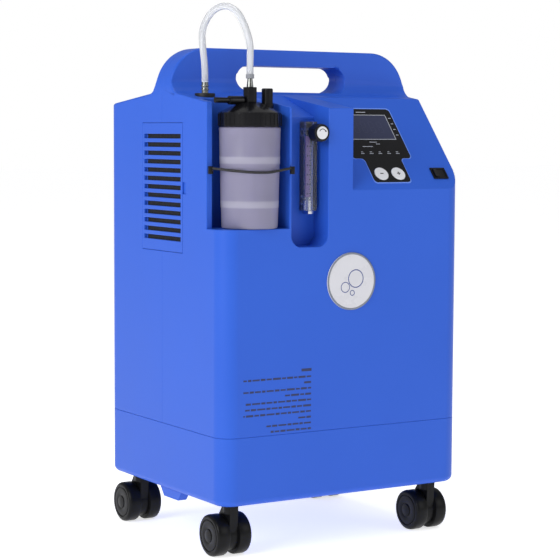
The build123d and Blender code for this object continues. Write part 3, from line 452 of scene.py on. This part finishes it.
glass = finish_of(
    "display_glass", (0.034, 0.040, 0.085), (0.028, 0.033, 0.072), 0.12,
    patch=18, relief=0.000005, shine=0.35,
)
window = soften(whole_copy("display_window", "window"), 0.0002)
wear(window, glass)
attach(window, "housing")

window_up = 0.0975
window_width = 0.067
window_height = 0.039
print_grey = finish_of("print_grey", (0.42, 0.44, 0.50), (0.34, 0.36, 0.42), 0.4, patch=90)
frame_line = 0.0009
marks = []
for side in (-1, 1):
    edge_x = middle_x + side * window_width / 2
    edge_up = window_up + side * window_height / 2
    marks.append(dash(edge_x, window_up, frame_line, window_height + frame_line))
    marks.append(dash(middle_x, edge_up, window_width - frame_line, frame_line))
for number in range(5):
    x = middle_x - 0.026 + 0.013 * number
    marks.append(dash(x, 0.0555, 0.0052, 0.0009))
    marks.append(dash(x, 0.0580, 0.0030, 0.0009))
for x, up, width in (
    (-0.003, 0.0735, 0.011),
    (0.003, 0.0705, 0.006),
    (-0.014, 0.0665, 0.015),
    (-0.001, 0.1215, 0.014),
):
    marks.append(dash(middle_x + x, up, width, 0.0010))
for number in range(4):
    marks.append(dash(middle_x + 0.0385, 0.085 + 0.009 * number, 0.0035, 0.0010))
panel_print = wear(joined(marks, "panel_print"), print_grey)
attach(panel_print, "housing")

segment_ink = finish_of(
    "display_marks", (0.044, 0.051, 0.100), (0.038, 0.044, 0.088), 0.2,
    patch=90, shine=0.35,
)
digits = []
for number in range(4):
    x = middle_x - 0.018 + 0.012 * number
    for up in (0.0, 0.0085, 0.017):
        digits.append(dash(x, window_up - 0.0085 + up, 0.0055, 0.0010, out=0.0003))
    for across, up in ((-0.0032, 0.0043), (0.0032, 0.0043), (-0.0032, 0.0128), (0.0032, 0.0128)):
        digits.append(dash(x + across, window_up - 0.0085 + up, 0.0010, 0.0066, out=0.0003))
digits = wear(joined(digits, "display_digits"), segment_ink)
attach(digits, "housing")

white = finish_of(
    "white_abs", (0.70, 0.71, 0.74), (0.64, 0.65, 0.69), 0.30,
    patch=50, grain=1400, relief=0.00002,
)
black = finish_of(
    "black_abs", (0.006, 0.006, 0.008), (0.004, 0.004, 0.005), 0.18,
    patch=30, grain=1300, relief=0.00002, shine=0.26,
)
key_up = 0.0236
for name, side in (("minus", -1), ("plus", 1)):
    key_x = middle_x + side * 0.0125
    key = soften(whole_copy(name + "_button", name + "_key"), 0.0003)
    wear(key, white)
    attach(key, name + "_button")
    strokes = [dash(key_x, key_up, 0.0048, 0.0012, out=0.00162)]
    if name == "plus":
        strokes.append(dash(key_x, key_up, 0.0012, 0.0048, out=0.00162))
    sign = wear(joined(strokes, name + "_sign"), black)
    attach(sign, name + "_button")

board_green = finish_of(
    "solder_mask", (0.020, 0.16, 0.055), (0.012, 0.11, 0.035), 0.35,
    patch=120, grain=500,
)
wear(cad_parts["display_board"], board_green)

# ---- power switch ----
# A snap-in rocker switch in glossy black nylon: a flanged frame and a rocker that rests on its
# left half, with a grey bar and a grey dot moulded in its two halves.
switch_case = wear(soften(whole_copy("switch_frame", "switch_case"), 0.0005), black)
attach(switch_case, "housing")
rocker = wear(soften(whole_copy("power_rocker", "rocker_cap"), 0.0005), black)
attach(rocker, "rocker")
rocker_tilt = radians(8)
switch_x = 0.1455
switch_up = 0.0235
rocker_sign_x = 0.0048
sign_lift = 0.00102
bar_size = (0.0010, 0.0028, print_depth)
dot_size = (0.0024, 0.0024, print_depth)
sink = abs(sin(rocker_tilt)) * rocker_sign_x
signs = [
    slab(on_panel(switch_x - rocker_sign_x, switch_up, sign_lift), bar_size, panel_turn, 0.0001),
    slab(on_panel(switch_x + rocker_sign_x, switch_up, sign_lift - sink), dot_size, panel_turn, 0.0001),
]
rocker_print = wear(joined(signs, "rocker_print"), print_grey)
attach(rocker_print, "rocker")

# ---- badge ----
# A domed white disc glued to the front, with a thin grey rim. Its print is a plain pattern of
# bubbles, which stands for no maker.
badge_white = finish_of("badge_white", (0.62, 0.62, 0.66), (0.58, 0.58, 0.62), 0.28, patch=40)
disc = wear(soften(whole_copy("badge", "disc"), 0.0002), badge_white)
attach(disc, "housing")
badge_low, badge_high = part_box("badge")
badge_middle = (badge_low + badge_high) / 2
rim_grey = finish_of("rim_grey", (0.20, 0.22, 0.27), (0.16, 0.18, 0.22), 0.35, patch=60)
bubble_blue = finish_of("bubble_ink", (0.045, 0.075, 0.26), (0.035, 0.060, 0.20), 0.35, patch=60)


def ring(middle, radius, thick, name):
    """Thin raised ring that faces the front."""
    deselect()
    bpy.ops.mesh.primitive_torus_add(
        location=middle, rotation=(pi / 2, 0, 0), major_radius=radius, minor_radius=thick,
        major_segments=72, minor_segments=6,
    )
    piece = bpy.context.object
    piece.name = name
    piece.scale = (1, 1, 0.35)
    bpy.ops.object.transform_apply(location=True, rotation=True, scale=True)
    bpy.ops.object.shade_smooth()
    return piece


badge_radius = (badge_high.x - badge_low.x) / 2
badge_front = Vector((badge_middle.x, badge_low.y, badge_middle.z))
rim = wear(ring(badge_front, badge_radius - 0.0012, 0.0012, "badge_rim"), rim_grey)
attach(rim, "housing")
bubbles = [
    ring(badge_front + Vector((0.006, 0, 0.003)), 0.0105, 0.0006, "bubble"),
    ring(badge_front + Vector((-0.009, 0, -0.007)), 0.0060, 0.0005, "bubble"),
    ring(badge_front + Vector((0.001, 0, -0.014)), 0.0030, 0.0005, "bubble"),
]
bubbles = wear(joined(bubbles, "badge_bubbles"), bubble_blue)
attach(bubbles, "housing")

# ---- filter door and its foam ----
# A moulded louvre panel that pulls off the left side. A sheet of black open-cell foam lies behind
# it in the frame and catches dust before the fan's air goes in.
door = wear(soften(whole_copy("filter_door", "door"), 0.0006), blue)
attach(door, "door")
foam_low, foam_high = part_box("foam_filter")
deselect()
bpy.ops.mesh.primitive_cube_add(size=1, location=(foam_low + foam_high) / 2)
foam = bpy.context.object
foam.name = "foam_sheet"
foam.scale = foam_high - foam_low - Vector((0.0012, 0.001, 0.001))
bpy.ops.object.transform_apply(location=True, rotation=True, scale=True)
bpy.ops.object.mode_set(mode="EDIT")
bpy.ops.mesh.subdivide(number_cuts=40)
bpy.ops.mesh.vertices_smooth(factor=0.5)
bpy.ops.transform.vertex_random(offset=0.00045, uniform=1.0, normal=0.0, seed=3)
bpy.ops.object.mode_set(mode="OBJECT")
bpy.ops.object.shade_smooth()
foam_black = finish_of(
    "open_foam", (0.016, 0.016, 0.018), (0.004, 0.004, 0.005), 0.9,
    patch=650, grain=1100, relief=0.0006,
)
wear(foam, foam_black)
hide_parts("foam_filter")
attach(foam, "door")

# ---- flowmeter: clear body, float, fittings, knob and its cap ----
# A milled and polished acrylic block with a tapered bore, in which a steel ball rides on the flow.
# It is held by two chromed studs through the shell, and the knob turns a needle valve.
acrylic = finish_of(
    "acrylic", (0.96, 0.97, 1.0), (0.94, 0.95, 0.99), 0.05,
    patch=30, relief=0.000004, spread=0.02,
)
tune(acrylic, Transmission_Weight=0.92, IOR=1.42)
meter = wear(soften(whole_copy("flowmeter_body", "meter_body"), 0.0004), acrylic)
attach(meter, "housing")
meter_low, meter_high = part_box("flowmeter_body")
meter_x = (meter_low.x + meter_high.x) / 2

violet = finish_of("violet_scale", (0.26, 0.13, 0.56), (0.21, 0.10, 0.48), 0.3, patch=40)
tune(violet, Transmission_Weight=0.35)
scale_low_z = meter_low.z + 0.016
scale_high_z = meter_high.z - 0.017
strip_middle = Vector((meter_x - 0.0046, meter_low.y + 0.0022, (scale_low_z + scale_high_z) / 2))
strip = wear(slab(strip_middle, (0.0058, 0.0006, scale_high_z - scale_low_z), edge=0.0002), violet)
strip.name = "scale_strip"
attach(strip, "housing")
ticks = []
for number in range(11):
    z = scale_low_z + 0.004 + number * 0.0056
    long = number % 2 == 0
    ticks.append(slab((meter_x - 0.0026, meter_low.y, z), (0.0036 if long else 0.0022, 0.0002, 0.0006)))
    if long:
        ticks.append(slab((meter_x - 0.0062, meter_low.y, z + 0.0001), (0.0009, 0.0002, 0.0022)))
ticks = wear(joined(ticks, "scale_ticks"), ink)
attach(ticks, "housing")
# Painted highlights: two bright white strips on the block's front stand in for the light caught along
# the bore's edge and along the block's edge.
line_y = meter_low.y + 0.0001
line_z = (meter_low.z + meter_high.z) / 2 - 0.006
line_size = (0.0009, print_depth, 0.084)
lines = [slab((meter_x + x, line_y, line_z), line_size) for x in (0.0028, 0.0064)]
meter_highlight_white = finish_of("meter_highlight_white", (0.88, 0.89, 0.93), (0.82, 0.83, 0.88), 0.3, patch=60)
meter_highlights = wear(joined(lines, "meter_painted_highlights"), meter_highlight_white)
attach(meter_highlights, "housing")

chrome = finish_of(
    "chrome", (0.72, 0.73, 0.75), (0.62, 0.63, 0.66), 0.14,
    patch=80, relief=0.00001,
)
tune(chrome, Metallic=1.0)
fittings = wear(soften(whole_copy("flowmeter_fittings", "meter_fittings"), 0.0003), chrome)
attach(fittings, "housing")
steel = finish_of("steel", (0.52, 0.53, 0.55), (0.42, 0.43, 0.45), 0.24, patch=120, relief=0.00002)
tune(steel, Metallic=1.0)
wear(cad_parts["flow_float"], steel)


def turned(name, outline, centre, axis, across, steps=72):
    """Turned piece: an outline of (radius, height) points on the axis's plane, spun all round it."""
    axis, across = Vector(axis), Vector(across)
    spots = [Vector(centre) + radius * across + height * axis for radius, height in outline]
    mesh = bpy.data.meshes.new(name)
    mesh.from_pydata(spots, [(index, index + 1) for index in range(len(spots) - 1)], [])
    piece = bpy.data.objects.new(name, mesh)
    bpy.context.collection.objects.link(piece)
    take(piece)
    bpy.ops.object.mode_set(mode="EDIT")
    bpy.ops.mesh.select_all(action="SELECT")
    bpy.ops.mesh.spin(steps=steps, angle=2 * pi, center=centre, axis=axis)
    bpy.ops.mesh.select_all(action="SELECT")
    bpy.ops.mesh.remove_doubles(threshold=0.00002)
    bpy.ops.mesh.normals_make_consistent(inside=False)
    bpy.ops.object.mode_set(mode="OBJECT")
    bpy.ops.object.shade_smooth_by_angle(angle=radians(35))
    return piece


knob_low, knob_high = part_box("flow_knob")
knob_z = (knob_low.z + knob_high.z) / 2
knob_radius = (knob_high.z - knob_low.z) / 2
knob_base = wear(soften(whole_copy("flow_knob", "knob"), 0.0004), black)
ridges = []
for number in range(28):
    turn = 2 * pi * number / 28
    spot = (meter_x + knob_radius * cos(turn), knob_low.y + 0.0085, knob_z + knob_radius * sin(turn))
    ridges.append(slab(spot, (0.0007, 0.0125, 0.0010), (0, -turn, 0), 0.0003))
knob_grip = wear(joined(ridges, "knob_ridges"), black)
for piece in (knob_base, knob_grip):
    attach(piece, "knob")
cap_disc = wear(soften(whole_copy("knob_cap", "knob_disc"), 0.0003), white)
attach(cap_disc, "knob")
cap_front_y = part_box("knob_cap")[0].y
arc = []
for number in range(9):
    turn = radians(35 + 14 * number)
    spot = (meter_x + 0.0045 * cos(turn), cap_front_y, knob_z + 0.0045 * sin(turn))
    arc.append(slab(spot, (0.0008, 0.0002, 0.0013), (0, -turn, 0)))
arc.append(slab((meter_x + 0.0044, cap_front_y, knob_z + 0.0020), (0.0020, 0.0002, 0.0016), (0, 0.6, 0)))
arrow = wear(joined(arc, "knob_arc"), black)
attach(arrow, "knob")

# ---- humidifier bottle ----
# A blow-moulded polypropylene jar, frosted and see-through, that screws into a black ribbed cap.
# Oxygen comes in by the cap's nut and dips through the water, and leaves by the side spout.
frosted = finish_of(
    "frosted_pp", (0.50, 0.48, 0.66), (0.47, 0.45, 0.62), 0.34,
    patch=24, grain=700, relief=0.00001, spread=0.02,
)
jar_low, jar_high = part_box("humidifier_jar")
bottle = (jar_low + jar_high) / 2
shader = frosted.node_tree.nodes["Principled BSDF"]
tune(frosted, Transmission_Weight=0.64, IOR=1.30)
place = frosted.node_tree.nodes.new("ShaderNodeTexCoord")
split = frosted.node_tree.nodes.new("ShaderNodeSeparateXYZ")
frosted.node_tree.links.new(place.outputs["Object"], split.inputs["Vector"])
height = frosted.node_tree.nodes.new("ShaderNodeMapRange")
height.inputs["From Min"].default_value = jar_low.z
height.inputs["From Max"].default_value = jar_low.z + 0.1
frosted.node_tree.links.new(split.outputs["Z"], height.inputs["Value"])
bands = frosted.node_tree.nodes.new("ShaderNodeValToRGB")
stops = bands.color_ramp.elements
stops[0].position = 0.0
stops[0].color = (0.1, 0.1, 0.1, 1)
stops[1].position = 1.0
stops[1].color = (0.0, 0.0, 0.0, 1)
band_tone = 0.6
stops.new(0.03).color = (0, 0, 0, 1)
for foot, head in ((0.235, 0.33), (0.745, 0.84)):
    for position, level in ((foot, 0), (foot + 0.015, band_tone), (head - 0.015, band_tone), (head, 0)):
        stops.new(position).color = (level, level, level, 1)
frosted.node_tree.links.new(height.outputs["Result"], bands.inputs["Fac"])
tint = frosted.node_tree.nodes.new("ShaderNodeMix")
tint.data_type = "RGBA"
tint.inputs[7].default_value = (0.80, 0.79, 0.90, 1)
frosted.node_tree.links.new(bands.outputs["Color"], tint.inputs[0])
frosted.node_tree.links.new(frosted.node_tree.nodes["ramp"].outputs["Color"], tint.inputs[6])
frosted.node_tree.links.new(tint.outputs[2], shader.inputs["Base Color"])

shoulder_z = 0.5045
jar_wall = 0.0022
foot_radius = 0.033
top_radius = 0.036
neck_radius = 0.0325
floor_z = jar_low.z
jar_outline = [
    (0, floor_z + 0.0012),
    (0.026, floor_z + 0.0012),
    (0.0275, floor_z),
    (foot_radius - 0.0022, floor_z),
    (foot_radius - 0.0006, floor_z + 0.0006),
    (foot_radius, floor_z + 0.0024),
    (foot_radius + 0.0006, floor_z + 0.024),
    (foot_radius + 0.0009, floor_z + 0.0245),
    (foot_radius + 0.0011, floor_z + 0.0320),
    (foot_radius + 0.0010, floor_z + 0.0325),
    (foot_radius + 0.0019, floor_z + 0.0745),
    (foot_radius + 0.0022, floor_z + 0.0750),
    (foot_radius + 0.0024, floor_z + 0.0840),
    (foot_radius + 0.0022, floor_z + 0.0845),
    (top_radius - 0.0002, shoulder_z - 0.0046),
    (top_radius, shoulder_z - 0.0038),
    (top_radius, shoulder_z - 0.0008),
    (top_radius - 0.0008, shoulder_z),
    (neck_radius, shoulder_z),
    (neck_radius, jar_high.z),
    (neck_radius - jar_wall, jar_high.z),
    (neck_radius - jar_wall, shoulder_z - 3 * jar_wall),
    (foot_radius - jar_wall, floor_z + jar_wall + 0.002),
    (foot_radius - jar_wall - 0.002, floor_z + jar_wall + 0.0006),
    (0, floor_z + jar_wall + 0.0006),
]
jar = turned("jar", jar_outline, (bottle.x, bottle.y, 0), (0, 0, 1), (1, 0, 0), 96)
wear(jar, frosted)
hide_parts("humidifier_jar")
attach(jar, "jar")

rubber = finish_of(
    "black_rubber", (0.009, 0.009, 0.010), (0.006, 0.006, 0.006), 0.55,
    patch=60, grain=900, relief=0.00006,
)
grey_rubber = finish_of(
    "grey_rubber", (0.26, 0.27, 0.30), (0.20, 0.21, 0.24), 0.5,
    patch=90, grain=900, relief=0.00005,
)
dark_nickel = finish_of(
    "nickel", (0.30, 0.31, 0.30), (0.20, 0.21, 0.20), 0.25,
    patch=160, relief=0.00002,
)
tune(dark_nickel, Metallic=1.0)
bottle_pieces = [
    ("humidifier_cap", "bottle_cap", black, "black_plastic", 0.0005),
    ("cap_nut", "bottle_nut", black, "black_plastic", 0.0008),
    ("inlet_nipple", "bottle_nipple", dark_nickel, "nickel", 0.0003),
    ("tube_cuff", "hose_cuff", grey_rubber, "grey_rubber", 0.0004),
    ("outlet_spout", "bottle_spout", black, "black_plastic", 0.0005),
    ("relief_valve", "bottle_relief", black, "black_plastic", 0.0004),
]
for node, name, finish, slot_name, edge in bottle_pieces:
    piece = wear(soften(whole_copy(node, name), edge), finish)
    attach(piece, "humidifier")
wear(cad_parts["jar_gasket"], rubber)
wear(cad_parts["dip_tube"], white)
felt = finish_of(
    "sintered_diffuser", (0.42, 0.42, 0.44), (0.30, 0.30, 0.33), 0.85,
    patch=500, grain=900, relief=0.0002,
)
wear(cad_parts["diffuser"], felt)

# ---- retaining strap and its anchors ----
# A round elastic cord with a braided sleeve, stretched round the front of the bottle between two
# small plastic pins, so that the bottle can't tip out of its bay.
strap = merged_copy("retaining_strap", "strap", flatten=False)
bpy.ops.object.shade_smooth_by_angle(angle=radians(40))
strap_low, strap_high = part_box("retaining_strap")
strap_middle_x = (strap_low.x + strap_high.x) / 2
strap_droop = 0.0046
for vertex in strap.data.vertices:
    across = 2 * (vertex.co.x - strap_middle_x) / (strap_high.x - strap_low.x)
    vertex.co.z += strap_droop * (across**2 - 0.5)
braid = finish_of(
    "braid", (0.014, 0.014, 0.016), (0.006, 0.006, 0.007), 0.62,
    patch=900, grain=1600, relief=0.0003,
)
weave = braid.node_tree.nodes.new("ShaderNodeTexWave")
weave.inputs["Scale"].default_value = 260
weave.bands_direction = "DIAGONAL"
spot = braid.node_tree.nodes.new("ShaderNodeTexCoord")
braid.node_tree.links.new(spot.outputs["Object"], weave.inputs["Vector"])
braid.node_tree.links.new(weave.outputs["Fac"], braid.node_tree.nodes["bump"].inputs["Height"])
wear(strap, braid)
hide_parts("retaining_strap")
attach(strap, "housing")
pins = wear(soften(whole_copy("strap_anchors", "strap_pins"), 0.0004), black)
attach(pins, "housing")

# ---- oxygen outlet ----
# A nickel-plated brass hose barb that is screwed down through the roof on a black rubber washer.
barb = wear(soften(whole_copy("outlet_barb", "barb"), 0.0004), dark_nickel)
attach(barb, "housing")
washer = wear(soften(whole_copy("outlet_washer", "washer"), 0.0006), rubber)
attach(washer, "housing")

# ---- casters ----
# Twin-wheel furniture casters, 50 mm, in black nylon. Two wheels run on one axle, with a hood
# between them whose steel stem is pushed up into the tub's socket.
nylon = finish_of(
    "black_nylon", (0.007, 0.007, 0.007), (0.004, 0.004, 0.005), 0.32,
    patch=40, grain=1200, relief=0.00004, shine=0.14,
)
wheel_radius = 0.025
wheel_width = 0.017
for corner in ("front_left", "front_right", "back_left", "back_right"):
    hood = wear(soften(whole_copy("caster_" + corner, "hood_" + corner), 0.0008), nylon)
    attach(hood, "caster_" + corner)
    for side, sign in (("left", -1), ("right", 1)):
        node = "wheel_" + corner + "_" + side
        low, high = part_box(node)
        centre = (low + high) / 2
        inner = Vector((centre.x - sign * wheel_width / 2, centre.y, centre.z))
        outline = [
            (0, wheel_width - 0.0022),
            (0.0031, wheel_width - 0.0022),
            (0.0031, 0),
            (0.0225, 0),
            (0.0242, 0.0007),
            (wheel_radius, 0.0025),
            (wheel_radius, wheel_width - 0.0040),
            (0.0243, wheel_width - 0.0016),
            (0.0228, wheel_width - 0.0003),
            (0.0215, wheel_width),
            (0.0196, wheel_width),
            (0.0190, wheel_width - 0.0010),
            (0.0182, wheel_width - 0.0010),
            (0.0176, wheel_width - 0.0001),
            (0.0100, wheel_width + 0.0008),
            (0.0088, wheel_width + 0.0002),
            (0.0080, wheel_width + 0.0002),
            (0.0074, wheel_width + 0.0012),
            (0.0030, wheel_width + 0.0018),
            (0, wheel_width + 0.0019),
        ]
        wheel = turned("tyre_" + corner + "_" + side, outline, inner, (sign, 0, 0), (0, 0, 1), 64)
        wear(wheel, nylon)
        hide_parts(node)
        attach(wheel, node)

# ---- back: exhaust grille, power inlet and screws ----
# Black nylon inserts snapped into the rear shell: a slotted grille over the fan and a three-pin
# appliance inlet with brass pins. Four steel screws close the shell over the tub.
grille = wear(soften(whole_copy("exhaust_grille", "grille"), 0.0005), black)
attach(grille, "housing")
socket = wear(soften(whole_copy("power_inlet", "inlet_socket"), 0.0004), black)
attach(socket, "housing")
brass = finish_of("brass", (0.62, 0.47, 0.20), (0.50, 0.37, 0.15), 0.28, patch=140, relief=0.00002)
tune(brass, Metallic=1.0)
back_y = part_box("rear_shell")[1].y
inlet_low, inlet_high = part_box("power_inlet")
inlet_x = (inlet_low.x + inlet_high.x) / 2
inlet_z = (inlet_low.z + inlet_high.z) / 2
sleeves = []
for number in (-1, 0, 1):
    spot = (inlet_x + 0.007 * number, back_y - 0.0090, inlet_z - 0.003)
    sleeves.append(slab(spot, (0.0022, 0.0126, 0.0042), edge=0.0003))
sleeves = wear(joined(sleeves, "inlet_pins"), brass)
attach(sleeves, "housing")
screws = wear(soften(whole_copy("shell_screws", "screws"), 0.0006), steel)
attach(screws, "housing")
screw_low, screw_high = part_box("shell_screws")
screw_z = (screw_low.z + screw_high.z) / 2
screw_places = (-0.130, -0.050, 0.050, 0.130)
# Painted shade: each screw's cross slot is a thin black slab on the steel head, standing in for the
# shade inside the slot's recess.
slot_shade = []
for x in screw_places:
    for turn in (radians(20), radians(110)):
        slot_shade.append(slab((x, screw_high.y, screw_z), (0.0046, 0.0002, 0.0009), (0, turn, 0)))
slot_shade = wear(joined(slot_shade, "screw_slot_shade"), black)
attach(slot_shade, "housing")

# ---- inside: compressor, fan, cooler, beds, tank, valves and boards ----
# The machinery on the tub's floor: a cast twin-head compressor on rubber mounts, an axial fan with
# a finned cooler, two sieve beds and a product tank in aluminium, and the boards.
aluminium = finish_of(
    "cast_aluminium", (0.58, 0.59, 0.61), (0.48, 0.49, 0.51), 0.42,
    patch=60, grain=500, relief=0.0001,
)
tune(aluminium, Metallic=1.0)
grey_abs = finish_of("grey_abs", (0.22, 0.23, 0.25), (0.17, 0.18, 0.20), 0.45, patch=50)
inside = {
    "compressor_body": aluminium,
    "compressor_heads": aluminium,
    "compressor_mounts": rubber,
    "intake_filter": grey_abs,
    "fan_frame": black,
    "fan_impeller": black,
    "heat_exchanger": aluminium,
    "sieve_beds": aluminium,
    "valve_block": aluminium,
    "product_tank": aluminium,
    "control_board": board_green,
    "run_capacitor": steel,
}
for node, finish in inside.items():
    wear(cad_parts[node], finish)

# ---- studio ----
# A pale floor that glows faintly runs out of sight under a white sky, which gives less light than
# it shows. A broad key light stands on the left, a softer one in front, and one over the top.
deselect()
bpy.ops.mesh.primitive_plane_add(size=40, location=(0, 0, 0))
floor = bpy.context.object
floor.name = "floor"
paper = finish_of("paper", (0.93, 0.93, 0.94), (0.91, 0.91, 0.92), 0.7, patch=0.5, grain=40)
tune(paper, Emission_Color=(1, 1, 1, 1), Emission_Strength=0.68)
wear(floor, paper)
floor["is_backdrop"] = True
world = bpy.data.worlds.new("sky")
bpy.context.scene.world = world
world.use_nodes = True
sky = world.node_tree.nodes["Background"]
sky.inputs["Color"].default_value = (1, 1, 1, 1)
sight = world.node_tree.nodes.new("ShaderNodeLightPath")
strength = world.node_tree.nodes.new("ShaderNodeMapRange")
strength.inputs["To Min"].default_value = 0.34
strength.inputs["To Max"].default_value = 1.0
world.node_tree.links.new(sight.outputs["Is Camera Ray"], strength.inputs["Value"])
world.node_tree.links.new(strength.outputs["Result"], sky.inputs["Strength"])
for name, spot, size, power in (
    ("key", (-2.8, -1.0, 1.6), 1.6, 58),
    ("fill", (1.6, -2.8, 1.6), 1.8, 16),
    ("top", (0.0, 0.2, 2.6), 1.4, 16),
):
    lamp = bpy.data.lights.new(name, "AREA")
    lamp.energy = power
    lamp.size = size
    light = bpy.data.objects.new(name, lamp)
    light.location = spot
    light.rotation_euler = (Vector(spot) - Vector((0, 0, 0.3))).to_track_quat("Z", "Y").to_euler()
    bpy.context.collection.objects.link(light)
bpy.context.scene.view_settings.view_transform = "Standard"

low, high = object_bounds()
